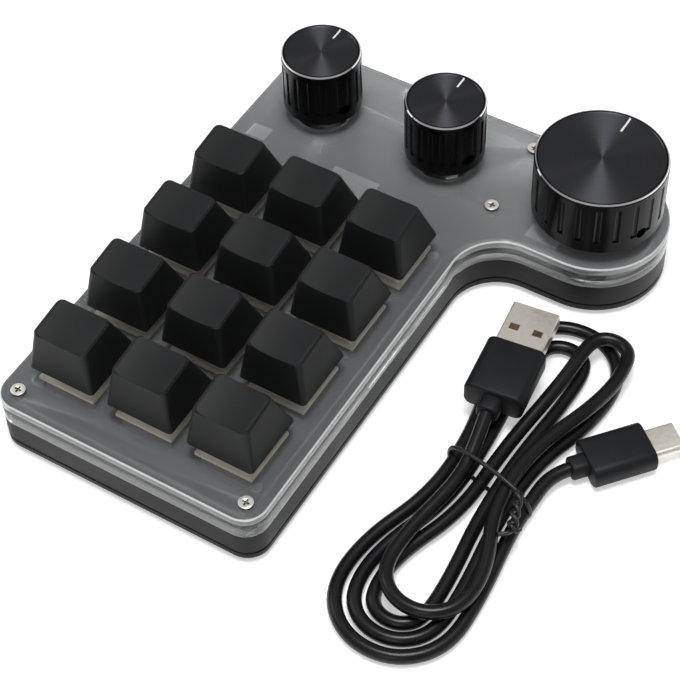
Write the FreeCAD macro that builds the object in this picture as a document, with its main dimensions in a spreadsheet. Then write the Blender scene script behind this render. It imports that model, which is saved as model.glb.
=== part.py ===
import FreeCAD, Part
import math
import os
import Sketcher
from FreeCAD import Placement, Rotation, Vector

# Macro keypad: twelve sprung keys and three push-and-turn knobs on a layered case.
# Millimetres. +Z is up, +Y runs from the front row to the knobs, +X to the large knob.
# The origin is under the middle of the keypad's footprint, on the table.

os.makedirs("parts", exist_ok=True)
doc = FreeCAD.newDocument("macro_keypad")
sheet = doc.addObject("Spreadsheet::Sheet", "Sizes")
PARTS = []
ORIGIN = -1
START, END, CENTRE = 1, 2, 3
SMALLEST_CUT = 1e-6
CUTS = []


class Size:
    """A length: its value now, and the sheet expression that keeps it up to date."""

    def __init__(self, value, text):
        self.value = float(value)
        self.text = text

    def __add__(self, other):
        other = as_size(other)
        return Size(self.value + other.value, f"({self.text} + {other.text})")

    def __sub__(self, other):
        other = as_size(other)
        return Size(self.value - other.value, f"({self.text} - {other.text})")

    def __mul__(self, factor):
        factor = as_size(factor)
        return Size(self.value * factor.value, f"({self.text} * {factor.text})")

    def __truediv__(self, divisor):
        divisor = as_size(divisor)
        return Size(self.value / divisor.value, f"({self.text} / {divisor.text})")

    def __neg__(self):
        return Size(-self.value, f"(0 - {self.text})")


def as_size(number):
    if isinstance(number, Size):
        return number
    return Size(number, f"({number:.6f})")


def at_least(size, floor):
    """The size, but never under a floor."""
    floor = as_size(floor)
    return Size(max(size.value, floor.value), f"max({size.text}; {floor.text})")


def slope(angle):
    """Rise over run of an angle in degrees."""
    return Size(math.tan(math.radians(angle.value)), f"tan({angle.text} * 1 deg)")


def into_sheet():
    """Write every plain length named so far into the sheet, and tie its name to its cell there."""
    for name, value in list(globals().items()):
        if isinstance(value, float) and name.islower():
            into_sheet.row += 1
            sheet.set(f"A{into_sheet.row}", name)
            sheet.set(f"B{into_sheet.row}", str(value))
            sheet.setAlias(f"B{into_sheet.row}", name)
            globals()[name] = Size(value, f"Sizes.{name}")
    doc.recompute()


into_sheet.row = 0
NONE = as_size(0)

# Key grid
key_pitch = 22.0  # key centre to key centre, both ways
ROWS = 4
COLUMNS = 3

# Case outline, measured from the middle of the key grid
half_width = 36.75  # grid middle to the left and right sides
front_reach = 51.3  # grid middle to the front side
back_reach = 89.8  # grid middle to the back side
case_corner = 6.0  # corner radius of the case
smallest_corner = 0.4  # corner radius where an outline is drawn far in
lobe_reach = 60.0  # grid middle to the lobe's centre, sideways
lobe_radius = 18.5  # radius of the lobe round the large knob
inner_bend = 13.0  # radius of the hollow bend beside the lobe

# Layers from the table up
foot_height = 0.8  # how far the feet stand out
cover_thickness = 2.5  # bottom cover
tray_height = 6.7  # base tray
frame_thickness = 4.6  # clear frame
plate_thickness = 2.0  # frosted top plate
board_thickness = 1.6  # circuit board

# Base
tray_wall = 2.4  # side wall of the tray
ledge_width = 3.2  # ledge inside the wall that carries the board
ledge_thickness = 1.8  # ledge height
boss_radius = 2.8  # screw boss in the tray
rib_thickness = 1.6  # rib that ties the inner bosses to the wall
lip_height = 1.5  # cover's locating lip
lip_wall = 1.2  # wall of the locating lip
lip_gap = 0.2  # lip to tray wall
cover_edge = 1.0  # rounding of the cover's lower edge
seam_chamfer = 0.35  # chamfers that make the seam's groove
foot_radius = 4.0  # rubber foot
foot_recess = 0.8  # how deep a foot sits in the cover
foot_gap = 0.1  # foot to its recess, on the radius
foot_inset = 9.0  # foot centre to the case's side

# Screws
screw_radius = 1.0  # shank of every case screw
thread_gap = 0.02  # screw to the thread in a boss, on the radius
screw_gap = 0.15  # screw to a clearance hole, on the radius
screw_inset = 4.9  # corner screw to the case's sides
inner_screw_reach = 36.1  # grid middle to the inner screws
inner_screw_front = 60.7  # grid middle to the nearer inner screw
inner_screw_back = 6.0  # farther inner screw to the back side
plate_screw_length = 12.0  # plate screw under its head
plate_head_radius = 1.8  # pan head of a plate screw
plate_head_height = 0.9  # pan head of a plate screw
driver_slot = 0.5  # width of a cross recess
driver_depth = 0.6  # depth of a cross recess
cover_screw_length = 6.0  # cover screw under its head
cover_head_radius = 1.9  # head of a cover screw
cover_head_height = 1.2  # head of a cover screw
cover_screw_side = 15.0  # grid middle to the front cover screws
cover_screw_back = 38.0  # grid middle to the rear cover screws

# Clear frame, top plate and board
cell_wall = 3.8  # rib of the frame between two keys
board_inset = 4.2  # board's edge to the case's side
board_gap = 0.2  # board to the frame round it
plate_chamfer = 0.35  # polished edge of the top plate
post_radius = 1.2  # white board post
post_reach_across = 31.0  # grid middle to a board post
post_reach_along = 40.4  # grid middle to a board post
post_gap = 0.2  # board post to the frame

# Key switch
switch_body = 13.9  # switch below its flange, square
switch_gap = 0.05  # switch to its cut-out in the plate, each side
flange_width = 15.6  # switch flange, square
flange_thickness = 1.0  # switch flange
switch_rise = 6.6  # switch top above the plate
switch_shoulder = 13.4  # upper housing where it leaves the flange
switch_crown = 10.2  # upper housing at its top
switch_floor = 1.2  # floor of the switch
switch_post_radius = 1.95  # centre post of the switch
switch_pin_radius = 0.7  # contact pin of the switch
near_pin_x = 3.81  # near contact pin, left of the switch's centre
near_pin_y = 2.54  # near contact pin, behind the centre
far_pin_x = 2.54  # far contact pin, right of the centre
far_pin_y = 5.08  # far contact pin, behind the centre
switch_tail = 3.3  # post and pins below the switch's floor
board_hole_gap = 0.1  # post or pin to its hole in the board
key_travel = 4.0  # how far a key goes down
slider_width = 7.0  # stem's slider, across
slider_depth = 5.5  # stem's slider, front to back
slider_height = 5.7  # stem's slider
slider_gap = 0.2  # slider to the housing, each side
cross_span = 4.0  # arms of the stem's cross
cross_thickness = 1.2  # arm of the stem's cross
cross_height = 3.6  # cross above the slider
cross_gap = 0.03  # cross to its socket in the cap, each side
guide_radius = 1.1  # guide pin under the stem
guide_gap = 0.2  # guide pin to its bore, on the radius
guide_reach = 2.8  # guide pin below the slider
spring_room = 2.85  # depth of the spring's bore in the slider
spring_radius = 1.95  # middle of the spring's wire to its axis
spring_wire = 0.35  # spring wire
light_width = 3.2  # key light, across
light_depth = 2.4  # key light, front to back
light_height = 1.4  # key light
light_offset = 4.95  # key light in front of the key's centre

# Keycap
cap_base = 18.1  # cap at its lower rim, square
cap_lift = 5.2  # cap's lower rim above the plate, key up
cap_height = 12.6  # cap's rim to the middle of its top
cap_top_width = 14.8  # cap's shoulder under its top, across
cap_top_depth = 11.4  # cap's shoulder under its top, front to back
cap_top_shift = 1.9  # cap's top towards the front
cap_tilt = 6.8  # degrees that the cap's top rises to the back
cap_corner = 1.0  # upright corners at the rim
cap_top_corner = 1.6  # corners of the top
cap_wall = 1.35  # cap's wall
cap_roof = 1.6  # cap's roof
cap_post_radius = 2.75  # post inside the cap
dish_radius = 34.0  # radius of the finger dish
dish_depth = 0.6  # depth of the finger dish
cap_edge = 0.45  # bevel round the cap's top

# Knobs and encoders
knob_reach_left = 19.0  # grid middle to the left knob, leftwards
knob_reach_middle = 17.5  # grid middle to the middle knob
small_knob_back = 20.1  # small knobs to the back side
small_knob_radius = 10.4  # small knob
large_knob_radius = 16.5  # large knob
knob_height = 17.0  # every knob
knob_lift = 3.6  # knob above the top plate
knob_taper = 0.3  # how much the top rim is smaller, on the radius
rim_band = 0.6  # bright cut rim
face_sink = 0.25  # spun face below the rim
knob_chamfer = 0.6  # knob's lower edge
knob_wall = 2.2  # knob's wall round its hollow
knob_hollow = 9.0  # depth of the hollow under the knob
hub_radius = 6.6  # hub that holds the shaft
hub_gap = 0.4  # hub to the encoder's bush, knob pressed
flute_depth = 0.35  # flutes in the knob's side
flute_radius = 1.1  # cutter of the flutes
flute_top = 2.2  # flutes stop below the rim
flute_foot = 3.8  # flutes start above the knob's lower edge
pointer_reach = 3.2  # length of the pointer line
pointer_width = 0.6  # width of the pointer line
pointer_depth = 0.12  # depth of the pointer line
FLUTES = 22
push_travel = 0.5  # how far a knob presses down
encoder_width = 12.0  # encoder body, across
encoder_depth = 11.7  # encoder body, front to back
encoder_height = 6.5  # encoder body
encoder_floor = 0.4  # floor of the encoder body
encoder_corner = 2.2  # cut corners of the encoder body
encoder_hole_radius = 7.5  # hole round an encoder
bush_radius = 3.5  # encoder's bush
bush_height = 3.6  # encoder's bush
shaft_radius = 3.0  # encoder shaft
shaft_gap = 0.05  # shaft to bush and knob, on the radius
shaft_top = 15.0  # shaft above the encoder body
shaft_flat = 1.5  # how deep the flat on the shaft is
collar_radius = 4.2  # collar that keeps the shaft in
collar_height = 1.0  # collar that keeps the shaft in
chamber_radius = 4.6  # chamber inside the encoder
chamber_height = 4.0  # chamber inside the encoder
plunger_radius = 2.4  # push plunger under the shaft
plunger_height = 0.8  # push plunger under the shaft
plunger_gap = 0.05  # plunger to shaft
encoder_pin_radius = 0.45  # encoder's pins
encoder_pin_length = 3.0  # encoder's pins
encoder_pin_pitch = 2.5  # pin to pin
encoder_pin_reach = 5.2  # pins to the encoder's middle
grub_radius = 1.5  # grub screw
grub_length = 5.0  # grub screw
grub_height = 4.4  # grub screw above the knob's lower edge

# Sockets and board parts
usb_place = -0.9  # socket sideways from the grid's middle
usb_width = 8.94  # socket's shell
usb_height = 3.2  # socket's shell
usb_depth = 7.4  # socket's shell
usb_wall = 0.3  # socket's sheet metal
usb_tongue_width = 6.54  # socket's tongue
usb_tongue_thickness = 0.64  # socket's tongue
usb_gap = 0.3  # socket to the tray's opening
usb_setback = 0.3  # socket's mouth behind the tray's face
chip_side = 7.0  # microcontroller, square
chip_height = 1.2  # microcontroller
into_sheet()
flute_step = as_size(360 / FLUTES)

# Places and levels that follow from the named sizes
grid_x = (half_width - lobe_reach - lobe_radius) / 2
grid_y = (front_reach - back_reach) / 2
lobe_y = back_reach - lobe_radius
tray_bottom = foot_height + cover_thickness
board_bottom = tray_bottom + tray_height
board_top = board_bottom + board_thickness
plate_bottom = board_bottom + frame_thickness
plate_top = plate_bottom + plate_thickness
switch_hole = switch_body + switch_gap * 2
cell_side = key_pitch - cell_wall

KEYS = [(row, column) for row in range(1, ROWS + 1) for column in range(1, COLUMNS + 1)]
KNOBS = [
    ("left", -knob_reach_left, back_reach - small_knob_back, small_knob_radius),
    ("middle", knob_reach_middle, back_reach - small_knob_back, small_knob_radius),
    ("large", lobe_reach, lobe_y, large_knob_radius),
]
side_line = half_width - screw_inset
PLATE_SCREWS = [
    (-side_line, screw_inset - front_reach),
    (side_line, screw_inset - front_reach),
    (-side_line, back_reach - screw_inset),
    (inner_screw_reach, inner_screw_front),
    (inner_screw_reach, back_reach - inner_screw_back),
]
COVER_SCREWS = [
    (-side_line, -cover_screw_side),
    (side_line, -cover_screw_side),
    (-side_line, cover_screw_back),
    (lobe_reach + lobe_radius - screw_inset, lobe_y),
]
FEET = [
    (foot_inset - half_width, foot_inset - front_reach),
    (half_width - foot_inset, foot_inset - front_reach),
    (foot_inset - half_width, back_reach - foot_inset),
    (half_width - foot_inset, back_reach - foot_inset),
    (lobe_reach, lobe_y),
]
POSTS = [(post_reach_across * i, post_reach_along * j) for i in (-1, 1) for j in (-1, 1)]
ENCODER_PINS = [
    (-encoder_pin_pitch, -encoder_pin_reach),
    (NONE, -encoder_pin_reach),
    (encoder_pin_pitch, -encoder_pin_reach),
    (-encoder_pin_pitch, encoder_pin_reach),
    (encoder_pin_pitch, encoder_pin_reach),
]
SWITCH_PINS = [(-near_pin_x, near_pin_y), (far_pin_x, far_pin_y)]


def key_place(row, column):
    """Centre of one key, from the grid's middle; row 1 is nearest the knobs."""
    across = key_pitch * (column - (COLUMNS + 1) / 2)
    along = key_pitch * ((ROWS + 1) / 2 - row)
    return across, along


def bind(feature, name, size):
    """Set a property and tie it to the sheet."""
    setattr(feature, name, size.value)
    feature.setExpression(name, size.text)


def stand(piece, x=NONE, y=NONE, z=NONE, turn=NONE):
    """Place a piece, turned about the upright axis, and tie its place to the sheet."""
    turned = Rotation(Vector(0, 0, 1), turn.value)
    piece.Placement = Placement(Vector(x.value, y.value, z.value), turned)
    for axis, size in zip("xyz", (x, y, z)):
        piece.setExpression(f".Placement.Base.{axis}", size.text)


def new_body(name, x=grid_x, y=grid_y, z=NONE, turn=NONE):
    """Start a sub-part as a body; its label is the name of its file."""
    body = doc.addObject("PartDesign::Body", name)
    body.Label = name
    stand(body, x, y, z, turn)
    PARTS.append(body)
    return body


def new_sketch(body, name, z=NONE, plane="XY_Plane", tilt=None, y=NONE, turn=0):
    """Start a sketch on one of the body's own origin planes, lifted along its normal."""
    sketch = body.newObject("Sketcher::SketchObject", name)
    support = [f for f in body.Origin.OriginFeatures if f.Role == plane][0]
    sketch.AttachmentSupport = [(support, "")]
    sketch.MapMode = "FlatFace"
    turned = Rotation(Vector(1, 0, 0), tilt.value) if tilt else Rotation(Vector(0, 0, 1), turn)
    sketch.AttachmentOffset = Placement(Vector(0, y.value, z.value), turned)
    sketch.setExpression(".AttachmentOffset.Base.z", z.text)
    sketch.setExpression(".AttachmentOffset.Base.y", y.text)
    if tilt:
        sketch.setExpression(".AttachmentOffset.Rotation.Angle", tilt.text)
    return sketch


def constrain(sketch, rules):
    """Add constraints in one go; a rule that ends in a Size is tied to the sheet."""
    first = sketch.ConstraintCount
    plain = [[part.value if isinstance(part, Size) else part for part in rule] for rule in rules]
    sketch.addConstraint([Sketcher.Constraint(*rule) for rule in plain])
    for index, rule in enumerate(rules, first):
        if isinstance(rule[-1], Size):
            sketch.setExpression(f"Constraints[{index}]", rule[-1].text)


def point_rules(element, point, x, y):
    return [
        ("DistanceX", ORIGIN, START, element, point, x),
        ("DistanceY", ORIGIN, START, element, point, y),
    ]


def draw_circle(sketch, x, y, radius):
    circle = Part.Circle(Vector(x.value, y.value, 0), Vector(0, 0, 1), radius.value)
    element = sketch.addGeometry(circle)
    constrain(sketch, [("Radius", element, radius)] + point_rules(element, CENTRE, x, y))


def draw_rectangle(sketch, x, y, width, depth):
    """A rectangle with its centre at x, y."""
    left, right = x - width / 2, x + width / 2
    front, back = y - depth / 2, y + depth / 2
    corners = [(left, front), (right, front), (right, back), (left, back)]
    draw_polygon(sketch, corners)


def draw_polygon(sketch, corners):
    """Straight lines through corners, each corner tied to the sheet."""
    points = [Vector(x.value, y.value, 0) for x, y in corners]
    first = sketch.GeometryCount
    lines = [Part.LineSegment(a, b) for a, b in zip(points, points[1:] + points[:1])]
    sketch.addGeometry(lines, False)
    rules = []
    for index, (x, y) in enumerate(corners):
        before = first + (index - 1) % len(corners)
        rules.append(("Coincident", before, END, first + index, START))
        rules += point_rules(first + index, START, x, y)
    constrain(sketch, rules)


def arc_through(centre, radius, start, end):
    """An arc from one angle to another, in degrees, counter-clockwise."""
    circle = Part.Circle(centre, Vector(0, 0, 1), radius)
    return Part.ArcOfCircle(circle, math.radians(start), math.radians(end))


def draw_rounded(sketch, width, depth, corner):
    """A rectangle about the origin with rounded corners."""
    x, y, r = width.value / 2, depth.value / 2, corner.value
    lines = [
        Part.LineSegment(Vector(r - x, -y, 0), Vector(x - r, -y, 0)),
        Part.LineSegment(Vector(x, r - y, 0), Vector(x, y - r, 0)),
        Part.LineSegment(Vector(x - r, y, 0), Vector(r - x, y, 0)),
        Part.LineSegment(Vector(-x, y - r, 0), Vector(-x, r - y, 0)),
    ]
    centres = [(x - r, r - y), (x - r, y - r), (r - x, y - r), (r - x, r - y)]
    for index, (line, (cx, cy)) in enumerate(zip(lines, centres)):
        sketch.addGeometry(line)
        sketch.addGeometry(arc_through(Vector(cx, cy, 0), r, 90 * index - 90, 90 * index))
    rules = []
    for index in range(4):
        line, arc, following = 2 * index, 2 * index + 1, (2 * index + 2) % 8
        rules.append(("Tangent", line, END, arc, START))
        rules.append(("Tangent", arc, END, following, START))
        rules.append(("Vertical" if index % 2 else "Horizontal", line))
        rules.append(("Radius", arc, corner))
    rules.append(("DistanceY", 0, START, ORIGIN, START, depth / 2))
    rules.append(("DistanceX", ORIGIN, START, 2, START, width / 2))
    rules.append(("DistanceY", ORIGIN, START, 4, START, depth / 2))
    rules.append(("DistanceX", 6, START, ORIGIN, START, width / 2))
    constrain(sketch, rules)


def draw_case_outline(sketch, inset=NONE):
    """The keypad's outline seen from above, drawn in by an inset all round."""
    side = half_width - inset
    front = front_reach - inset
    back = back_reach - inset
    corner = at_least(case_corner - inset, smallest_corner)
    lobe = lobe_radius - inset
    bend = inner_bend + inset
    s, f, b, c = side.value, front.value, back.value, corner.value
    lx, ly, lr, br = lobe_reach.value, lobe_y.value, lobe.value, bend.value
    waist = ly - lr
    line, arc = Part.LineSegment, arc_through
    outline = [
        line(Vector(c - s, -f, 0), Vector(s - c, -f, 0)),
        arc(Vector(s - c, c - f, 0), c, -90, 0),
        line(Vector(s, c - f, 0), Vector(s, waist - br, 0)),
        arc(Vector(s + br, waist - br, 0), br, 90, 180),
        line(Vector(s + br, waist, 0), Vector(lx, waist, 0)),
        arc(Vector(lx, ly, 0), lr, -90, 90),
        line(Vector(lx, b, 0), Vector(c - s, b, 0)),
        arc(Vector(c - s, b - c, 0), c, 90, 180),
        line(Vector(-s, b - c, 0), Vector(-s, c - f, 0)),
        arc(Vector(c - s, c - f, 0), c, 180, 270),
    ]
    sketch.addGeometry(outline, False)
    bend_arc = 3
    rules = []
    for index in range(len(outline)):
        following = (index + 1) % len(outline)
        here = START if index == bend_arc else END
        there = END if following == bend_arc else START
        rules.append(("Tangent", index, here, following, there))
    rules += [("Horizontal", index) for index in (0, 4, 6)]
    rules += [("Vertical", index) for index in (2, 8)]
    rules += [("Radius", index, corner) for index in (1, 7, 9)]
    rules.append(("Radius", bend_arc, bend))
    rules.append(("Radius", 5, lobe))
    rules.append(("DistanceY", 0, START, ORIGIN, START, front))
    rules.append(("DistanceX", ORIGIN, START, 2, START, side))
    rules.append(("DistanceY", ORIGIN, START, 6, START, back))
    rules.append(("DistanceX", 8, START, ORIGIN, START, side))
    rules.append(("DistanceX", ORIGIN, START, 5, CENTRE, lobe_reach))
    constrain(sketch, rules)


def pad(body, name, sketch, length, down=False, taper=None):
    feature = body.newObject("PartDesign::Pad", name)
    feature.Profile = sketch
    bind(feature, "Length", length)
    feature.Reversed = down
    if taper:
        bind(feature, "TaperAngle", taper)
    sketch.Visibility = False
    return feature


def pocket(body, name, sketch, depth=None, up=False):
    """Cut a sketch out of the body; the end of the build checks that the cut took something."""
    feature = body.newObject("PartDesign::Pocket", name)
    feature.Profile = sketch
    feature.Reversed = up
    if depth:
        bind(feature, "Length", depth)
    else:
        feature.Type = "ThroughAll"
    CUTS.append((body, feature))
    sketch.Visibility = False
    return feature


def edges_at(body, height):
    """Names of the outer loop's edges that lie flat at one height of the body's shape."""
    doc.recompute()
    shape = body.Tip.Shape
    found = []
    for face in shape.Faces:
        box = face.BoundBox
        if abs(box.ZMin - height) < 1e-4 and abs(box.ZMax - height) < 1e-4:
            for edge in face.OuterWire.Edges:
                for index, other in enumerate(shape.Edges, 1):
                    if other.isSame(edge):
                        found.append(f"Edge{index}")
    return sorted(set(found))


def soften(body, name, kind, size, edges):
    """Fillet or chamfer edges of the body's last feature."""
    base = body.Tip
    feature = body.newObject(f"PartDesign::{kind}", name)
    feature.Base = (base, edges)
    bind(feature, "Radius" if kind == "Fillet" else "Size", size)


# Bottom cover: a flat lid with a locating lip, closed from below with four screws
def make_bottom_cover():
    body = new_body("bottom_cover", z=foot_height)
    sketch = new_sketch(body, "cover_outline")
    draw_case_outline(sketch)
    pad(body, "cover_slab", sketch, cover_thickness)
    soften(body, "cover_lower_edge", "Fillet", cover_edge, edges_at(body, 0))
    soften(body, "cover_upper_edge", "Chamfer", seam_chamfer, edges_at(body, cover_thickness.value))
    sketch = new_sketch(body, "lip_outline", cover_thickness)
    draw_case_outline(sketch, tray_wall + lip_gap)
    pad(body, "lip_block", sketch, lip_height)
    sketch = new_sketch(body, "lip_inside", cover_thickness)
    draw_case_outline(sketch, tray_wall + lip_gap + lip_wall)
    pocket(body, "lip_hollow", sketch, lip_height, up=True)
    sketch = new_sketch(body, "boss_room", cover_thickness)
    for x, y in PLATE_SCREWS + COVER_SCREWS:
        draw_circle(sketch, x, y, boss_radius + lip_gap)
    pocket(body, "lip_gaps", sketch, lip_height, up=True)
    sketch = new_sketch(body, "foot_places")
    for x, y in FEET:
        draw_circle(sketch, x, y, foot_radius + foot_gap)
    pocket(body, "foot_recesses", sketch, foot_recess, up=True)
    sketch = new_sketch(body, "screw_places")
    for x, y in COVER_SCREWS:
        draw_circle(sketch, x, y, screw_radius + screw_gap)
    pocket(body, "screw_holes", sketch, up=True)
    sketch = new_sketch(body, "screw_head_places")
    for x, y in COVER_SCREWS:
        draw_circle(sketch, x, y, cover_head_radius + screw_gap)
    pocket(body, "screw_counterbores", sketch, cover_head_height + screw_gap, up=True)


# Base tray: a ring of walls with a ledge for the board and bosses for every screw
def make_base_tray():
    body = new_body("base_tray", z=tray_bottom)
    sketch = new_sketch(body, "tray_outline")
    draw_case_outline(sketch)
    pad(body, "tray_block", sketch, tray_height)
    soften(body, "tray_lower_edge", "Chamfer", seam_chamfer, edges_at(body, 0))
    sketch = new_sketch(body, "ledge_inside")
    draw_case_outline(sketch, tray_wall + ledge_width)
    pocket(body, "tray_opening", sketch, up=True)
    sketch = new_sketch(body, "wall_inside")
    draw_case_outline(sketch, tray_wall)
    pocket(body, "tray_hollow", sketch, tray_height - ledge_thickness, up=True)
    sketch = new_sketch(body, "boss_places")
    for x, y in PLATE_SCREWS + COVER_SCREWS:
        draw_circle(sketch, x, y, boss_radius)
    pad(body, "bosses", sketch, tray_height)
    sketch = new_sketch(body, "rib_place", lip_height)
    rib_start = inner_screw_front + boss_radius / 2
    rib_end = back_reach - tray_wall / 2
    middle = (rib_start + rib_end) / 2
    draw_rectangle(sketch, inner_screw_reach, middle, rib_thickness, rib_end - rib_start)
    pad(body, "boss_rib", sketch, tray_height - lip_height)
    sketch = new_sketch(body, "thread_places")
    for x, y in PLATE_SCREWS + COVER_SCREWS:
        draw_circle(sketch, x, y, screw_radius + thread_gap)
    pocket(body, "threads", sketch, up=True)
    sketch = new_sketch(body, "usb_opening_place", tray_height)
    reach = tray_wall + ledge_width
    draw_rectangle(sketch, usb_place, back_reach - reach / 2, usb_width + usb_gap * 2, reach)
    pocket(body, "usb_opening", sketch, usb_height + usb_gap)


def make_rubber_feet():
    body = new_body("rubber_feet")
    sketch = new_sketch(body, "feet_outline")
    for x, y in FEET:
        draw_circle(sketch, x, y, foot_radius)
    pad(body, "feet", sketch, foot_height + foot_recess)


def cross_recess(body, places, level, up):
    """A cross recess in each screw head."""
    for name, width, depth in (("slot_across", plate_head_radius, driver_slot),
                               ("slot_along", driver_slot, plate_head_radius)):
        sketch = new_sketch(body, name, level)
        for x, y in places:
            draw_rectangle(sketch, x, y, width, depth)
        pocket(body, name + "_cut", sketch, driver_depth, up=up)


def make_screws():
    body = new_body("plate_screws")
    sketch = new_sketch(body, "shanks_outline", plate_top)
    for x, y in PLATE_SCREWS:
        draw_circle(sketch, x, y, screw_radius)
    pad(body, "shanks", sketch, plate_screw_length, down=True)
    sketch = new_sketch(body, "heads_outline", plate_top)
    for x, y in PLATE_SCREWS:
        draw_circle(sketch, x, y, plate_head_radius)
    pad(body, "heads", sketch, plate_head_height)
    cross_recess(body, PLATE_SCREWS, plate_top + plate_head_height, up=False)
    body = new_body("cover_screws")
    seat = foot_height + cover_head_height + screw_gap
    sketch = new_sketch(body, "shanks_outline", seat)
    for x, y in COVER_SCREWS:
        draw_circle(sketch, x, y, screw_radius)
    pad(body, "shanks", sketch, cover_screw_length)
    sketch = new_sketch(body, "heads_outline", seat)
    for x, y in COVER_SCREWS:
        draw_circle(sketch, x, y, cover_head_radius)
    pad(body, "heads", sketch, cover_head_height, down=True)
    cross_recess(body, COVER_SCREWS, seat - cover_head_height, up=True)


# White connector blocks on the board, which show through the top plate and the frame
side_block_across = -30.0  # centre, from the grid's middle
side_block_along = 55.4
side_block_width = 5.0
side_block_depth = 4.4
middle_block_across = 0.6
middle_block_along = 50.2
middle_block_width = 13.0
middle_block_depth = 8.4
lobe_block_across = 51.6
lobe_block_along = 59.6
lobe_block_width = 8.6
lobe_block_depth = 4.4
block_clearance = 0.3  # connector block to the frame round it
block_headroom = 0.1  # connector block to the top plate
into_sheet()
BLOCKS = [
    (side_block_across, side_block_along, side_block_width, side_block_depth),
    (middle_block_across, middle_block_along, middle_block_width, middle_block_depth),
    (lobe_block_across, lobe_block_along, lobe_block_width, lobe_block_depth),
]
block_height = frame_thickness - board_thickness - block_headroom


# Clear frame: one slab with a cell for each key, on top of the board's rebate
def make_clear_frame():
    body = new_body("clear_frame", z=board_bottom)
    sketch = new_sketch(body, "frame_outline")
    draw_case_outline(sketch)
    pad(body, "frame_slab", sketch, frame_thickness)
    sketch = new_sketch(body, "rebate_outline")
    draw_case_outline(sketch, board_inset - board_gap)
    pocket(body, "board_rebate", sketch, board_thickness, up=True)
    sketch = new_sketch(body, "cell_places")
    for row, column in KEYS:
        x, y = key_place(row, column)
        draw_rectangle(sketch, x, y, cell_side, cell_side)
    pocket(body, "cells", sketch, up=True)
    sketch = new_sketch(body, "post_places")
    for x, y in POSTS:
        draw_circle(sketch, x, y, post_radius + post_gap)
    pocket(body, "post_rooms", sketch, up=True)
    sketch = new_sketch(body, "encoder_places")
    for name, x, y, radius in KNOBS:
        draw_circle(sketch, x, y, encoder_hole_radius)
    pocket(body, "encoder_rooms", sketch, up=True)
    sketch = new_sketch(body, "block_places")
    for x, y, width, depth in BLOCKS:
        draw_rectangle(sketch, x, y, width + block_clearance * 2, depth + block_clearance * 2)
    pocket(body, "block_rooms", sketch, up=True)
    sketch = new_sketch(body, "screw_places")
    for x, y in PLATE_SCREWS:
        draw_circle(sketch, x, y, screw_radius + screw_gap)
    pocket(body, "screw_holes", sketch, up=True)


# Top plate: frosted sheet with a square cut-out for each switch
def make_top_plate():
    body = new_body("top_plate", z=plate_bottom)
    sketch = new_sketch(body, "plate_outline")
    draw_case_outline(sketch)
    pad(body, "plate_sheet", sketch, plate_thickness)
    soften(body, "polished_edge", "Chamfer", plate_chamfer, edges_at(body, plate_thickness.value))
    sketch = new_sketch(body, "switch_places")
    for row, column in KEYS:
        x, y = key_place(row, column)
        draw_rectangle(sketch, x, y, switch_hole, switch_hole)
    pocket(body, "switch_cutouts", sketch, up=True)
    sketch = new_sketch(body, "encoder_places")
    for name, x, y, radius in KNOBS:
        draw_circle(sketch, x, y, encoder_hole_radius)
    pocket(body, "encoder_holes", sketch, up=True)
    sketch = new_sketch(body, "screw_places")
    for x, y in PLATE_SCREWS:
        draw_circle(sketch, x, y, screw_radius + screw_gap)
    pocket(body, "screw_holes", sketch, up=True)


# Circuit board with holes for everything that passes through it
def make_circuit_board():
    body = new_body("circuit_board", z=board_bottom)
    sketch = new_sketch(body, "board_outline")
    draw_case_outline(sketch, board_inset)
    pad(body, "board_sheet", sketch, board_thickness)
    sketch = new_sketch(body, "switch_post_places")
    for row, column in KEYS:
        x, y = key_place(row, column)
        draw_circle(sketch, x, y, switch_post_radius + board_hole_gap)
        for pin_x, pin_y in SWITCH_PINS:
            draw_circle(sketch, x + pin_x, y + pin_y, switch_pin_radius + board_hole_gap)
    pocket(body, "switch_holes", sketch, up=True)
    sketch = new_sketch(body, "encoder_pin_places")
    for name, x, y, radius in KNOBS:
        for pin_x, pin_y in ENCODER_PINS:
            draw_circle(sketch, x + pin_x, y + pin_y, encoder_pin_radius + board_hole_gap)
    pocket(body, "encoder_pin_holes", sketch, up=True)
    sketch = new_sketch(body, "screw_places")
    for x, y in PLATE_SCREWS:
        draw_circle(sketch, x, y, screw_radius + screw_gap)
    pocket(body, "screw_holes", sketch, up=True)


def make_board_parts():
    body = new_body("microcontroller", z=board_bottom - chip_height)
    sketch = new_sketch(body, "chip_outline")
    draw_rectangle(sketch, usb_place, lobe_y - chip_side, chip_side, chip_side)
    pad(body, "chip", sketch, chip_height)
    body = new_body("board_connectors", z=board_top)
    sketch = new_sketch(body, "blocks_outline")
    for x, y, width, depth in BLOCKS:
        draw_rectangle(sketch, x, y, width, depth)
    pad(body, "blocks", sketch, block_height)
    body = new_body("board_posts", z=board_top)
    sketch = new_sketch(body, "posts_outline")
    for x, y in POSTS:
        draw_circle(sketch, x, y, post_radius)
    pad(body, "posts", sketch, plate_bottom - board_top)
    body = new_body("key_lights", z=board_top)
    sketch = new_sketch(body, "lights_outline")
    for row, column in KEYS:
        x, y = key_place(row, column)
        draw_rectangle(sketch, x, y - light_offset, light_width, light_depth)
    pad(body, "lights", sketch, light_height)


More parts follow.
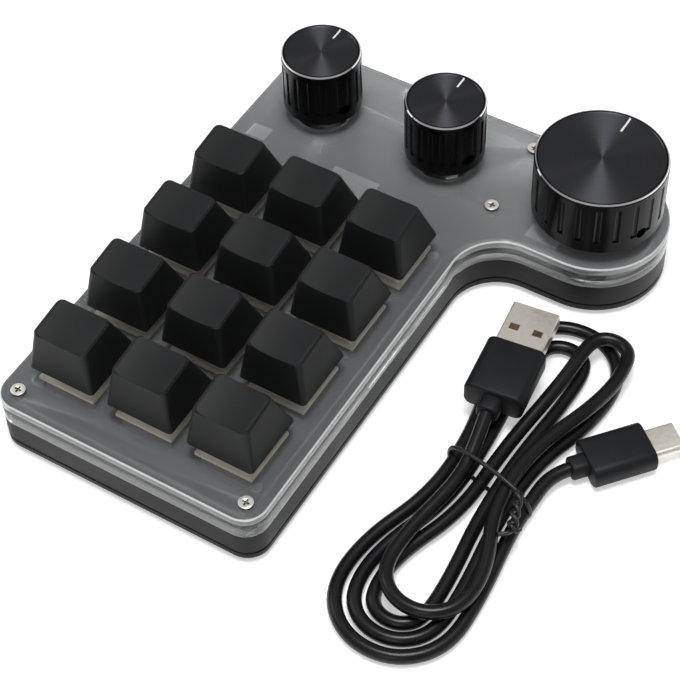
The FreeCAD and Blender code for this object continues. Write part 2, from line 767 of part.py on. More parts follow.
def make_usb_socket():
    body = new_body("usb_c_socket", z=board_bottom - usb_height)
    mouth = back_reach - usb_setback
    middle = mouth - usb_depth / 2
    sketch = new_sketch(body, "shell_outline")
    draw_rectangle(sketch, usb_place, middle, usb_width, usb_depth)
    pad(body, "shell", sketch, usb_height)
    sketch = new_sketch(body, "mouth_outline", usb_wall)
    draw_rectangle(sketch, usb_place, middle + usb_wall, usb_width - usb_wall * 2, usb_depth)
    pocket(body, "mouth", sketch, usb_height - usb_wall * 2, up=True)
    sketch = new_sketch(body, "tongue_outline", (usb_height - usb_tongue_thickness) / 2)
    draw_rectangle(sketch, usb_place, middle, usb_tongue_width, usb_depth - usb_wall * 2)
    pad(body, "tongue", sketch, usb_tongue_thickness)


# Switch housings: one node for each column of keys, four separate housings in each
def make_switch_housings():
    spans = (switch_shoulder - switch_crown) / 2
    rise = switch_rise - flange_thickness
    taper = Size(-math.degrees(math.atan(spans.value / rise.value)),
                 f"(0 - atan({spans.text} / {rise.text}) / 1 deg)")
    for column, side in ((1, "left"), (2, "middle"), (3, "right")):
        body = new_body(f"switch_housings_{side}")
        places = [key_place(row, column) for row in range(1, ROWS + 1)]

        def squares(name, level, width, depth, shift=NONE):
            sketch = new_sketch(body, name, level)
            for x, y in places:
                draw_rectangle(sketch, x, y + shift, width, depth)
            return sketch

        def rounds(name, level, radius, offsets=((0, 0),)):
            sketch = new_sketch(body, name, level)
            for x, y in places:
                for dx, dy in offsets:
                    draw_circle(sketch, x + dx, y + dy, radius)
            return sketch

        sketch = squares("lower_outline", board_top, switch_body, switch_body)
        pad(body, "lower_housing", sketch, plate_top - board_top)
        sketch = squares("flange_outline", plate_top, flange_width, flange_width)
        pad(body, "flange", sketch, flange_thickness)
        top = plate_top + flange_thickness
        sketch = squares("upper_outline", top, switch_shoulder, switch_shoulder)
        pad(body, "upper_housing", sketch, rise, taper=taper)
        pad(body, "centre_post", rounds("post_outline", board_top, switch_post_radius), switch_tail, down=True)
        pins = rounds("pin_outline", board_top, switch_pin_radius, SWITCH_PINS)
        pad(body, "contact_pins", pins, switch_tail, down=True)
        floor = board_top + switch_floor
        well = squares("well_outline", floor, slider_width + slider_gap * 2, slider_depth + slider_gap * 2)
        pocket(body, "well", well, up=True)
        bore = rounds("guide_outline", floor, guide_radius + guide_gap)
        pocket(body, "guide_bore", bore, switch_floor + switch_tail - guide_radius)
        room = squares("light_outline", board_top, light_width + guide_gap, light_depth + guide_gap, -light_offset)
        pocket(body, "light_room", room, light_height + guide_gap, up=True)


# Stem levels, key up
slider_top = plate_top + switch_rise - slider_gap
slider_bottom = slider_top - slider_height
spring_foot = board_top + switch_floor


def make_key(row, column):
    """One key's moving pieces: the stem in its switch, and the cap pressed on the stem."""
    x, y = key_place(row, column)
    x, y = grid_x + x, grid_y + y
    body = new_body(f"switch_stem_r{row}_c{column}", x, y, slider_bottom)
    sketch = new_sketch(body, "slider_outline")
    draw_rectangle(sketch, NONE, NONE, slider_width, slider_depth)
    pad(body, "slider", sketch, slider_height)
    sketch = new_sketch(body, "spring_bore_outline")
    draw_circle(sketch, NONE, NONE, spring_radius + spring_wire)
    pocket(body, "spring_bore", sketch, spring_room, up=True)
    sketch = new_sketch(body, "guide_pin_outline", spring_room)
    draw_circle(sketch, NONE, NONE, guide_radius)
    pad(body, "guide_pin", sketch, spring_room + guide_reach, down=True)
    for name, width, depth in (("arm_across", cross_span, cross_thickness),
                               ("arm_along", cross_thickness, cross_span)):
        sketch = new_sketch(body, name + "_outline", slider_height)
        draw_rectangle(sketch, NONE, NONE, width, depth)
        pad(body, name, sketch, cross_height)

    body = new_body(f"keycap_r{row}_c{column}", x, y, plate_top + cap_lift)
    roof = cap_height - cap_roof
    edge_drop = cap_edge * 2
    loft = body.newObject("PartDesign::AdditiveLoft", "cap_block")
    rim = new_sketch(body, "rim_outline")
    draw_rounded(rim, cap_base, cap_base, cap_corner)
    shoulder = new_sketch(body, "shoulder_outline", cap_height - cap_edge, tilt=cap_tilt, y=-cap_top_shift)
    draw_rounded(shoulder, cap_top_width, cap_top_depth, cap_top_corner)
    top = new_sketch(body, "top_outline", cap_height, tilt=cap_tilt, y=-cap_top_shift)
    draw_rounded(top, cap_top_width - edge_drop, cap_top_depth - edge_drop, cap_top_corner)
    loft.Profile = rim
    loft.Sections = [shoulder, top]
    loft.Ruled = True
    rim = new_sketch(body, "hollow_rim")
    draw_rounded(rim, cap_base - cap_wall * 2, cap_base - cap_wall * 2, cap_corner)
    top = new_sketch(body, "hollow_top", roof, tilt=cap_tilt, y=-cap_top_shift)
    draw_rounded(top, cap_top_width - cap_wall * 2, cap_top_depth - cap_wall * 2, cap_corner)
    hollow = body.newObject("PartDesign::SubtractiveLoft", "hollow")
    hollow.Profile = rim
    hollow.Sections = [top]
    post_start = slider_top + slider_gap / 2 - plate_top - cap_lift
    post_end = roof + (cap_post_radius + cap_top_shift) * slope(cap_tilt)
    sketch = new_sketch(body, "post_outline", post_start)
    draw_circle(sketch, NONE, NONE, cap_post_radius)
    pad(body, "post", sketch, post_end - post_start)
    for name, width, depth in (("socket_across", cross_span, cross_thickness),
                               ("socket_along", cross_thickness, cross_span)):
        sketch = new_sketch(body, name + "_outline", post_start)
        draw_rectangle(sketch, NONE, NONE, width + cross_gap * 2, depth + cross_gap * 2)
        pocket(body, name, sketch, cross_height + cross_gap, up=True)
    sketch = new_sketch(body, "dish_outline", cap_top_shift, "XZ_Plane", cap_tilt, cap_height)
    draw_circle(sketch, NONE, dish_radius - dish_depth, dish_radius)
    pocket(body, "finger_dish", sketch).Midplane = True


# Knob levels, knob up
encoder_top = board_top + encoder_height
chamber_floor = board_top + encoder_floor
plunger_bottom = chamber_floor + push_travel + plunger_gap
shaft_bottom = plunger_bottom + plunger_height + plunger_gap
knob_bottom = plate_top + knob_lift
# The flat on each shaft looks a step and a half of the flutes clockwise of +X
FLAT_STEPS = 1.5
drive_turn = -flute_step * FLAT_STEPS
POINTER_TURN = 90 - drive_turn.value


def make_encoder(name, x, y):
    body = new_body(f"{name}_encoder", x, y, board_top)
    side, front = encoder_width / 2, encoder_depth / 2
    sketch = new_sketch(body, "case_outline")
    draw_polygon(sketch, [
        (encoder_corner - side, -front),
        (side - encoder_corner, -front),
        (side, encoder_corner - front),
        (side, front - encoder_corner),
        (side - encoder_corner, front),
        (encoder_corner - side, front),
        (-side, front - encoder_corner),
        (-side, encoder_corner - front),
    ])
    pad(body, "case", sketch, encoder_height)
    sketch = new_sketch(body, "bush_outline", encoder_height)
    draw_circle(sketch, NONE, NONE, bush_radius)
    pad(body, "bush", sketch, bush_height)
    sketch = new_sketch(body, "pin_outline")
    for pin_x, pin_y in ENCODER_PINS:
        draw_circle(sketch, pin_x, pin_y, encoder_pin_radius)
    pad(body, "pins", sketch, encoder_pin_length, down=True)
    sketch = new_sketch(body, "chamber_outline", encoder_floor)
    draw_circle(sketch, NONE, NONE, chamber_radius)
    pocket(body, "chamber", sketch, chamber_height, up=True)
    sketch = new_sketch(body, "bore_outline", encoder_floor)
    draw_circle(sketch, NONE, NONE, shaft_radius + shaft_gap)
    pocket(body, "bore", sketch, up=True)
    body = new_body(f"{name}_encoder_plunger", x, y, plunger_bottom)
    sketch = new_sketch(body, "disc_outline")
    draw_circle(sketch, NONE, NONE, plunger_radius)
    pad(body, "disc", sketch, plunger_height)


def make_encoder_shaft(name, x, y):
    body = new_body(f"{name}_encoder_shaft", x, y, shaft_bottom, turn=drive_turn)
    sketch = new_sketch(body, "shaft_outline")
    draw_circle(sketch, NONE, NONE, shaft_radius)
    pad(body, "shaft", sketch, encoder_top + shaft_top - shaft_bottom)
    sketch = new_sketch(body, "collar_outline", push_travel + collar_height / 2)
    draw_circle(sketch, NONE, NONE, collar_radius)
    pad(body, "collar", sketch, collar_height)
    sketch = new_sketch(body, "flat_outline", encoder_top + bush_height + push_travel - shaft_bottom)
    across = shaft_radius * 2
    draw_rectangle(sketch, across - shaft_flat, NONE, across, across)
    pocket(body, "flat", sketch, up=True)


def make_knob(name, x, y, radius):
    """A turned knob: hollow below, a hub on the shaft, flutes round its side, a cut rim."""
    body = new_body(f"{name}_knob", x, y, knob_bottom, turn=drive_turn)
    rim = radius - knob_taper
    face = rim - rim_band
    floor = knob_height - face_sink
    hub_foot = encoder_top + bush_height + push_travel + hub_gap - knob_bottom
    bore = shaft_radius + shaft_gap
    bore_top = encoder_top + shaft_top + push_travel - knob_bottom
    sketch = new_sketch(body, "profile", plane="XZ_Plane")
    draw_polygon(sketch, [
        (radius - knob_wall, NONE),
        (radius - knob_chamfer, NONE),
        (radius, knob_chamfer),
        (radius, knob_height - knob_chamfer),
        (rim, knob_height),
        (face, knob_height),
        (face - face_sink, floor),
        (NONE, floor),
        (NONE, bore_top),
        (bore, bore_top),
        (bore, hub_foot),
        (hub_radius, hub_foot),
        (hub_radius, knob_hollow),
        (radius - knob_wall, knob_hollow),
    ])
    turned = body.newObject("PartDesign::Revolution", "turned_knob")
    turned.Profile = sketch
    turned.ReferenceAxis = (sketch, ["V_Axis"])
    turned.Angle = 360
    sketch.Visibility = False
    flat = shaft_radius - shaft_flat + shaft_gap
    flat_depth = bore + shaft_gap * 2 - flat
    sketch = new_sketch(body, "drive_flat_outline", hub_foot)
    draw_rectangle(sketch, flat + flat_depth / 2, NONE, flat_depth, bore * 2)
    pad(body, "drive_flat", sketch, bore_top - hub_foot)
    half_step = math.radians(flute_step.value / 2)
    cutter = radius + flute_radius - flute_depth
    sketch = new_sketch(body, "flute_outline", flute_foot)
    draw_circle(sketch, cutter * math.cos(half_step), cutter * math.sin(half_step), flute_radius)
    flute = pocket(body, "flute", sketch, knob_height - flute_foot - flute_top, up=True)
    pattern = body.newObject("PartDesign::PolarPattern", "flutes")
    pattern.Originals = [flute]
    pattern.Axis = (sketch, ["N_Axis"])
    pattern.Angle = 360
    pattern.Occurrences = FLUTES
    body.Tip = pattern
    sketch = new_sketch(body, "grub_hole_outline", plane="YZ_Plane")
    draw_circle(sketch, NONE, grub_height, grub_radius + thread_gap)
    pocket(body, "grub_hole", sketch, radius * 2, up=True)
    sketch = new_sketch(body, "pointer_outline", floor, turn=POINTER_TURN)
    draw_rectangle(sketch, face - face_sink - pointer_reach / 2, NONE, pointer_reach, pointer_width)
    pocket(body, "pointer", sketch, pointer_depth)
    body = new_body(f"{name}_grub_screw", x, y, knob_bottom, turn=drive_turn)
    sketch = new_sketch(body, "grub_outline", flat, plane="YZ_Plane")
    draw_circle(sketch, NONE, grub_height, grub_radius)
    pad(body, "grub", sketch, grub_length)


def make_switch_springs():
    """Twelve springs, one in each switch, as one node of plain sleeves."""
    seat = spring_wire / 2
    body = new_body("switch_springs", z=spring_foot + seat)
    length = slider_bottom + spring_room - spring_foot - spring_wire
    sketch = new_sketch(body, "spring_outlines")
    for row, column in KEYS:
        x, y = key_place(row, column)
        draw_circle(sketch, x, y, spring_radius + spring_wire / 2)
        draw_circle(sketch, x, y, spring_radius - spring_wire / 2)
    pad(body, "sleeves", sketch, length)


# Lead: one unbroken tube, wound into a loose hank on the table beside the keypad
lead_diameter = 3.5  # lead's jacket
lower_layer = 1.8  # axis of the lead above the table, lower layer
upper_layer = 5.85  # axis of the lead above the table, upper layer
waist_lift = 0.8  # the tie under the hank lifts its waist
a_mould_width = 15.0  # moulded grip of the USB-A plug
a_mould_height = 7.6  # moulded grip of the USB-A plug
a_mould_length = 16.5  # moulded grip of the USB-A plug
a_shell_width = 12.0  # shell of the USB-A plug
a_shell_height = 4.5  # shell of the USB-A plug
a_shell_length = 13.0  # shell of the USB-A plug
c_mould_width = 12.4  # moulded grip of the USB-C plug
c_mould_height = 6.4  # moulded grip of the USB-C plug
c_mould_length = 16.0  # moulded grip of the USB-C plug
c_shell_width = 8.3  # shell of the USB-C plug
c_shell_height = 2.5  # shell of the USB-C plug
c_shell_length = 7.6  # shell of the USB-C plug
shell_wall = 0.35  # sheet metal of both plug shells
mould_corner = 1.6  # long edges of both grips
relief_length = 4.0  # strain relief of both plugs
relief_radius = 2.4  # strain relief of both plugs
tie_depth = 2.4  # tie, along the lead
tie_thickness = 0.6  # tie
tie_gap = 0.2  # tie to the lead
into_sheet()

# Middle of the hank's waist, and the two ends of the lead with the way that each plug points
WAIST_Y = -25.0
A_PLUG = (Vector(42.7, -11.5, 8.9), 96.9)
C_PLUG = (Vector(65.3, -12.0, 3.3), 50.0)
DOWN, UP = Vector(0, -1, 0), Vector(0, 1, 0)
# The tie leans across the hank; its twisted tail is a rod from the band to the right and front
TIE_LEAN = -12.9
TIE_LEAN_ROOM = 0.6
TIE_CORNER = 0.5
TIE_TAIL = (Vector(60.0, -27.2, 8.9), Vector(63.4, -37.4, 7.2))
TIE_TAIL_RADIUS = 0.7
LOWER, UPPER = lower_layer.value, upper_layer.value

# Where the lead passes, from the USB-A plug on: across, along, layer and heading.
# Each pair at one end of the hank is a loop's two sides; between loops it passes the waist.
PASSES = [
    (45.0, WAIST_Y, UPPER, DOWN),
    (42.1, -54.5, UPPER, DOWN), (62.5, -54.5, UPPER, UP),
    (56.0, WAIST_Y, UPPER, UP),
    (63.9, 20.5, UPPER, UP), (52.9, 20.5, UPPER, DOWN),
    (49.1, WAIST_Y, LOWER, DOWN),
    (42.0, -61.0, LOWER, DOWN), (55.5, -61.0, LOWER, UP),
    (53.4, WAIST_Y, LOWER, UP),
    (54.9, 15.0, LOWER, UP), (42.5, 15.0, LOWER, DOWN),
    (44.8, WAIST_Y, LOWER, DOWN),
    (37.7, -61.0, LOWER, DOWN), (59.6, -61.0, LOWER, UP),
    (57.5, WAIST_Y, LOWER, UP),
    (63.6, 14.0, LOWER, UP), (36.0, 14.0, LOWER, DOWN),
    (40.5, WAIST_Y, LOWER, DOWN),
    (33.4, -61.2, LOWER, DOWN), (63.7, -61.2, LOWER, UP),
    (61.6, WAIST_Y, LOWER, UP),
]


def heading_of(degrees):
    return Vector(math.cos(math.radians(degrees)), math.sin(math.radians(degrees)), 0)


def unit(vector):
    return vector * (1 / vector.Length)


def arc_from(start, heading, end):
    """The arc that leaves start with a heading and reaches end."""
    chord = end - start
    aside = unit(heading - unit(chord) * heading.dot(unit(chord)))
    rise = chord.Length / 2 * math.tan(heading.getAngle(chord) / 2)
    return Part.Arc(start, (start + end) * 0.5 + aside * rise, end).toShape()


def biarc(start, heading, end, final):
    """Two arcs that go from a point and heading to another point and heading, with no kink."""
    chord = end - start
    lean = chord.dot(heading + final)
    spread = 2 * (1 - heading.dot(final))
    if spread < 1e-9:
        reach = chord.dot(chord) / (2 * lean)
    else:
        reach = (math.sqrt(lean * lean + spread * chord.dot(chord)) - lean) / spread
    joint = (start + end + (heading - final) * reach) * 0.5
    first = unit(joint - start)
    turned = first * (2 * heading.dot(first)) - heading
    return [arc_from(start, heading, joint), arc_from(joint, turned, end)]


def lead_arcs():
    """The lead's centre line, from the USB-A plug to the USB-C plug."""
    a_place, a_way = A_PLUG
    c_place, c_way = C_PLUG
    here, heading = a_place, -heading_of(a_way)
    arcs = []
    for x, y, layer, way in PASSES:
        lift = waist_lift.value if y == WAIST_Y else 0
        there = Vector(x, y, layer + lift)
        arcs += biarc(here, heading, there, way)
        here, heading = there, way
    return arcs + biarc(here, heading, c_place, heading_of(c_way))


def least_gap(arcs, step=1.5):
    """The least gap between stretches of the tube that lie three diameters apart along it."""
    points = []
    for arc in arcs:
        points += arc.discretize(max(2, int(arc.Length / step) + 1))[:-1]
    apart = int(3 * lead_diameter.value / step) + 1
    pairs = ((a, b) for i, a in enumerate(points) for b in points[i + apart:])
    return min(a.distanceToPoint(b) for a, b in pairs) - lead_diameter.value


def make_lead():
    arcs = lead_arcs()
    path = Part.Wire(arcs)
    circle = Part.Circle(A_PLUG[0], heading_of(A_PLUG[1]), lead_diameter.value / 2)
    tube = path.makePipeShell([Part.Wire([circle.toShape()])], True, False)
    section = math.pi * lead_diameter.value ** 2 / 4
    print(f"lead: {path.Length:.1f} mm long, {len(arcs)} arcs, tightest radius",
          f"{min(arc.Curve.Radius for arc in arcs):.1f} mm, least gap {least_gap(arcs):.2f} mm,",
          f"volume over section times length {tube.Volume / section / path.Length:.5f}")
    piece = doc.addObject("Part::Feature", "usb_cable")
    piece.Shape = tube
    piece.Label = "usb_cable"
    PARTS.append(piece)


def make_plug(name, place, way, mould, shell, mouth_depth):
    """A plug: strain relief, moulded grip and hollow metal shell with a tongue, along its own +Y."""
    width, height, length = mould
    shell_width, shell_height, shell_length = shell
    where = [as_size(place.x), as_size(place.y), as_size(place.z)]
    body = new_body(name, *where, turn=as_size(way - 90))
    sketch = new_sketch(body, "relief_outline", plane="XZ_Plane")
    draw_circle(sketch, NONE, NONE, relief_radius)
    pad(body, "relief", sketch, relief_length, down=True)
    sketch = new_sketch(body, "grip_outline", -relief_length, plane="XZ_Plane")
    draw_rounded(sketch, width, height, mould_corner)
    pad(body, "grip", sketch, length, down=True)
    front = relief_length + length
    sketch = new_sketch(body, "shell_outline", -front, plane="XZ_Plane")
    draw_rectangle(sketch, NONE, NONE, shell_width, shell_height)
    pad(body, "shell", sketch, shell_length, down=True)
    sketch = new_sketch(body, "mouth_outline", -(front + shell_length), plane="XZ_Plane")
    draw_rectangle(sketch, NONE, NONE, shell_width - shell_wall * 2, shell_height - shell_wall * 2)
    pocket(body, "mouth", sketch, mouth_depth, up=True)


def make_tie():
    """A flat tie round the hank's waist, with its twisted tail lying to the right."""
    passing = [x for x, y, layer, way in PASSES if y == WAIST_Y]
    lead_half = lead_diameter.value / 2
    half_inside = (max(passing) - min(passing)) / 2 + lead_half + TIE_LEAN_ROOM + tie_gap.value
    floor = LOWER + waist_lift.value - lead_half - tie_gap.value
    roof = UPPER + waist_lift.value + lead_half + tie_gap.value
    wall, depth = tie_thickness.value, tie_depth.value
    outer = Part.makeBox(2 * (half_inside + wall), depth, roof - floor + 2 * wall,
                         Vector(-half_inside - wall, -depth / 2, floor - wall))
    inner = Part.makeBox(2 * half_inside, 2 * depth, roof - floor, Vector(-half_inside, -depth, floor))
    upright = [edge for edge in outer.Edges if abs(edge.tangentAt(edge.FirstParameter).y) > 0.5]
    band = outer.makeFillet(TIE_CORNER, upright).cut(inner)
    band.Placement = Placement(Vector((max(passing) + min(passing)) / 2, WAIST_Y, 0),
                               Rotation(Vector(0, 0, 1), TIE_LEAN))
    tail_start, tail_end = TIE_TAIL
    tail = Part.makeCylinder(TIE_TAIL_RADIUS, (tail_end - tail_start).Length, tail_start, tail_end - tail_start)
    piece = doc.addObject("Part::Feature", "cable_tie")
    piece.Shape = band.fuse(tail)
    piece.Label = "cable_tie"
    PARTS.append(piece)


make_bottom_cover()
make_base_tray()
make_rubber_feet()
make_screws()
make_clear_frame()
make_top_plate()
make_circuit_board()
make_board_parts()
make_usb_socket()
make_switch_housings()
make_switch_springs()
for key_row, key_column in KEYS:
    make_key(key_row, key_column)
for knob_name, knob_x, knob_y, knob_radius in KNOBS:
    make_encoder(knob_name, grid_x + knob_x, grid_y + knob_y)
    make_encoder_shaft(knob_name, grid_x + knob_x, grid_y + knob_y)
    make_knob(knob_name, grid_x + knob_x, grid_y + knob_y, knob_radius)
make_lead()
a_mould = (a_mould_width, a_mould_height, a_mould_length)
a_shell = (a_shell_width, a_shell_height, a_shell_length)
make_plug("usb_a_plug", *A_PLUG, a_mould, a_shell, a_shell_length)
c_mould = (c_mould_width, c_mould_height, c_mould_length)
c_shell = (c_shell_width, c_shell_height, c_shell_length)
make_plug("usb_c_plug", *C_PLUG, c_mould, c_shell, c_shell_length)
make_tie()
doc.recompute()

for item in doc.Objects:
    if "Invalid" in item.State or "Error" in item.State:
        raise RuntimeError(f"{item.Label} did not compute")
for body, cut in CUTS:
    if cut.Shape.Volume > cut.BaseFeature.Shape.Volume - SMALLEST_CUT:
        raise RuntimeError(f"{cut.Label} cuts nothing from {body.Label}")
for piece in PARTS:
    if piece.Shape.isNull() or not piece.Shape.isValid():
        raise RuntimeError(f"{piece.Label} has no valid shape")
for piece in PARTS:
    piece.Shape.exportStep(f"parts/{piece.Label}.step")
print(len(PARTS), "parts written")
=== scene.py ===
import bpy
import bmesh
import math
from mathutils import Matrix, Vector


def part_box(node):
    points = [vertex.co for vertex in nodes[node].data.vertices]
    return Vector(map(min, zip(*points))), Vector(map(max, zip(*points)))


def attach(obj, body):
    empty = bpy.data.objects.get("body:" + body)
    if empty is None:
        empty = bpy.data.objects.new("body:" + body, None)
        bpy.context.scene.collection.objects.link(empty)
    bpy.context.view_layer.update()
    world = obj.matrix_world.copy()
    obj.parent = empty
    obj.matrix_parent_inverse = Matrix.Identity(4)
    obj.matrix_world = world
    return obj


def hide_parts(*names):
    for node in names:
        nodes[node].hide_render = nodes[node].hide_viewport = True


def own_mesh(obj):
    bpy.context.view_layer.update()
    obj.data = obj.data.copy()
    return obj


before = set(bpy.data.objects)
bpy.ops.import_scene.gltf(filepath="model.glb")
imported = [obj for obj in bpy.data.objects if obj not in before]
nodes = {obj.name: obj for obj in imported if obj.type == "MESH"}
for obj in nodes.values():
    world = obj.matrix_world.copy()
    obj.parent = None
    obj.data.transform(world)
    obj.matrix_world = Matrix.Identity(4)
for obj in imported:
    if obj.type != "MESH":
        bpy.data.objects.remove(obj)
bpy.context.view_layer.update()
scene = bpy.context.scene
rest_body = "case"

# Camera: a long lens, high in front of the keypad and to its right, as in the photograph.
camera_data = bpy.data.cameras.new("camera")
camera_data.sensor_width = 36
camera_data.lens = 103.84
camera_data.clip_start = 0.01
camera = bpy.data.objects.new("camera", camera_data)
camera.location = (0.16606, -0.26261, 0.37850)
camera.rotation_euler = [math.radians(angle) for angle in (39.249, 1.508, 31.224)]
scene.collection.objects.link(camera)
scene.camera = camera

# Lead: 3.5 mm black cable with a soft, slightly waxy jacket, about 0.8 m long.
# It is wound into a loose hank of four turns in two layers, drawn in at the waist by a tie.
LEAD_DIAMETER = 0.0035
WAIST_Y = -0.025
LOWER, UPPER = 0.0018, 0.00585
WAIST_LIFT = 0.0008
A_PLUG_PLACE = (0.0427, -0.0115, 0.0089)
A_PLUG_WAY = 96.9
C_PLUG_PLACE = (0.0653, -0.0120, 0.0033)
C_PLUG_WAY = 50.0


def loop_bend(first, last, bend_y, height, outwards):
    """Four points round one end of the hank, from one side of a loop to its other side."""
    middle, radius = (first + last) / 2, abs(last - first) / 2
    side = math.copysign(1, first - last)
    reach = radius / math.cos(math.pi / 8)
    return [(middle + side * reach * math.cos(turn), bend_y + outwards * reach * math.sin(turn), height)
            for turn in [math.pi * (eighth + 0.5) / 4 for eighth in range(4)]]


def run_past_waist(start_x, start_y, height, waist_x, end_x, end_y, end_height):
    """Points of one run from a loop at one end of the hank, through the waist, to a loop at the other."""
    quarter_in, quarter_out = (WAIST_Y - start_y) / 4, (end_y - WAIST_Y) / 4
    return [(start_x, start_y + quarter_in, height),
            (waist_x, WAIST_Y - quarter_in, height + WAIST_LIFT),
            (waist_x, WAIST_Y + quarter_out, height + WAIST_LIFT),
            (end_x, end_y - quarter_out, end_height)]


LOW_END, TOP_END = -1, 1
route = [A_PLUG_PLACE, (0.0441, -0.0187, 0.0078), (0.0450, WAIST_Y, UPPER + WAIST_LIFT),
         (0.0450, -0.0326, UPPER + WAIST_LIFT), (0.0421, -0.0471, UPPER)]
route += loop_bend(0.0421, 0.0625, -0.0545, UPPER, LOW_END)
route += run_past_waist(0.0625, -0.0545, UPPER, 0.0560, 0.0639, 0.0205, UPPER)
route += loop_bend(0.0639, 0.0529, 0.0205, UPPER, TOP_END)
route += [(0.0529, 0.0091, UPPER), (0.0491, -0.0136, LOWER + WAIST_LIFT),
          (0.0491, -0.0345, LOWER + WAIST_LIFT), (0.0420, -0.0520, LOWER)]
route += loop_bend(0.0420, 0.0555, -0.0610, LOWER, LOW_END)
route += run_past_waist(0.0555, -0.0610, LOWER, 0.0534, 0.0549, 0.0150, LOWER)
route += loop_bend(0.0549, 0.0425, 0.0150, LOWER, TOP_END)
route += run_past_waist(0.0425, 0.0150, LOWER, 0.0448, 0.0377, -0.0610, LOWER)
route += loop_bend(0.0377, 0.0596, -0.0610, LOWER, LOW_END)
route += run_past_waist(0.0596, -0.0610, LOWER, 0.0575, 0.0636, 0.0140, LOWER)
route += loop_bend(0.0636, 0.0360, 0.0140, LOWER, TOP_END)
route += run_past_waist(0.0360, 0.0140, LOWER, 0.0405, 0.0334, -0.0612, LOWER)
route += loop_bend(0.0334, 0.0637, -0.0612, LOWER, LOW_END)
route += [(0.0637, -0.0522, LOWER), (0.0616, -0.0345, LOWER + WAIST_LIFT),
          (0.0616, WAIST_Y, LOWER + WAIST_LIFT), (0.0622, -0.0157, 0.0031), C_PLUG_PLACE]

lead_curve = bpy.data.curves.new("usb_lead", "CURVE")
lead_curve.dimensions = "3D"
lead_curve.bevel_depth = LEAD_DIAMETER / 2
lead_curve.bevel_resolution = 5
lead_curve.use_fill_caps = True
spline = lead_curve.splines.new("NURBS")
spline.points.add(len(route) - 1)
for point, place in zip(spline.points, route):
    point.co = (*place, 1)
spline.order_u = 3
spline.use_endpoint_u = True
spline.resolution_u = 8
lead = bpy.data.objects.new("usb_lead", lead_curve)
scene.collection.objects.link(lead)


def new_material(name, colour, roughness, metallic=0.0):
    """A material with its main shader's plain values; returns it with its shader and node tree."""
    material = bpy.data.materials.new(name)
    material.use_nodes = True
    tree = material.node_tree
    shader = tree.nodes["Principled BSDF"]
    shader.inputs["Base Color"].default_value = (*colour, 1)
    shader.inputs["Roughness"].default_value = roughness
    shader.inputs["Metallic"].default_value = metallic
    return material, shader, tree


def add_grain(tree, shader, scale, strength, distance, detail=4.0):
    """Fine surface grain: noise on the piece's own coordinates drives the bump."""
    place = tree.nodes.new("ShaderNodeTexCoord")
    noise = tree.nodes.new("ShaderNodeTexNoise")
    noise.inputs["Scale"].default_value = scale
    noise.inputs["Detail"].default_value = detail
    bump = tree.nodes.new("ShaderNodeBump")
    bump.inputs["Strength"].default_value = strength
    bump.inputs["Distance"].default_value = distance
    tree.links.new(place.outputs["Object"], noise.inputs["Vector"])
    tree.links.new(noise.outputs["Fac"], bump.inputs["Height"])
    tree.links.new(bump.outputs["Normal"], shader.inputs["Normal"])
    return place


def vary(tree, place, socket, scale, dark, light, detail=3.0):
    """Slow variation: noise mixes two colours or two greys into a socket of the shader."""
    noise = tree.nodes.new("ShaderNodeTexNoise")
    noise.inputs["Scale"].default_value = scale
    noise.inputs["Detail"].default_value = detail
    ramp = tree.nodes.new("ShaderNodeValToRGB")
    ramp.color_ramp.elements[0].position = 0.35
    ramp.color_ramp.elements[1].position = 0.65
    ramp.color_ramp.elements[0].color = (*dark, 1)
    ramp.color_ramp.elements[1].color = (*light, 1)
    tree.links.new(place.outputs["Object"], noise.inputs["Vector"])
    tree.links.new(noise.outputs["Fac"], ramp.inputs["Fac"])
    tree.links.new(ramp.outputs["Color"], socket)


jacket, shader, tree = new_material("lead jacket", (0.009, 0.009, 0.010), 0.32)
place = add_grain(tree, shader, 900, 0.12, 0.0001)
vary(tree, place, shader.inputs["Base Color"], 120, (0.005, 0.005, 0.006), (0.008, 0.008, 0.009))
vary(tree, place, shader.inputs["Roughness"], 60, (0.27, 0.27, 0.27), (0.37, 0.37, 0.37))
shader.inputs["Specular IOR Level"].default_value = 0.3
lead_curve.materials.append(jacket)
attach(lead, rest_body)

# Plugs: black moulded grips with a short strain relief and a bright sheet-metal shell.
# The flat one has two windows in its shell; the small one is a rounded slot shape.
moulded, shader, tree = new_material("moulded grip", (0.014, 0.015, 0.017), 0.48)
place = add_grain(tree, shader, 2200, 0.2, 0.00006)
vary(tree, place, shader.inputs["Base Color"], 150, (0.0085, 0.009, 0.0105), (0.012, 0.0125, 0.014))
shader.inputs["Specular IOR Level"].default_value = 0.2
shell_steel, shader, tree = new_material("plug shell", (0.84, 0.80, 0.72), 0.34, 0.75)
place = add_grain(tree, shader, 2500, 0.08, 0.00002)
vary(tree, place, shader.inputs["Roughness"], 900, (0.30, 0.30, 0.30), (0.38, 0.38, 0.38))
tongue_plastic, shader, tree = new_material("plug tongue", (0.06, 0.035, 0.015), 0.45)
place = add_grain(tree, shader, 800, 0.1, 0.00004)
vary(tree, place, shader.inputs["Base Color"], 400, (0.025, 0.016, 0.008), (0.16, 0.09, 0.03))


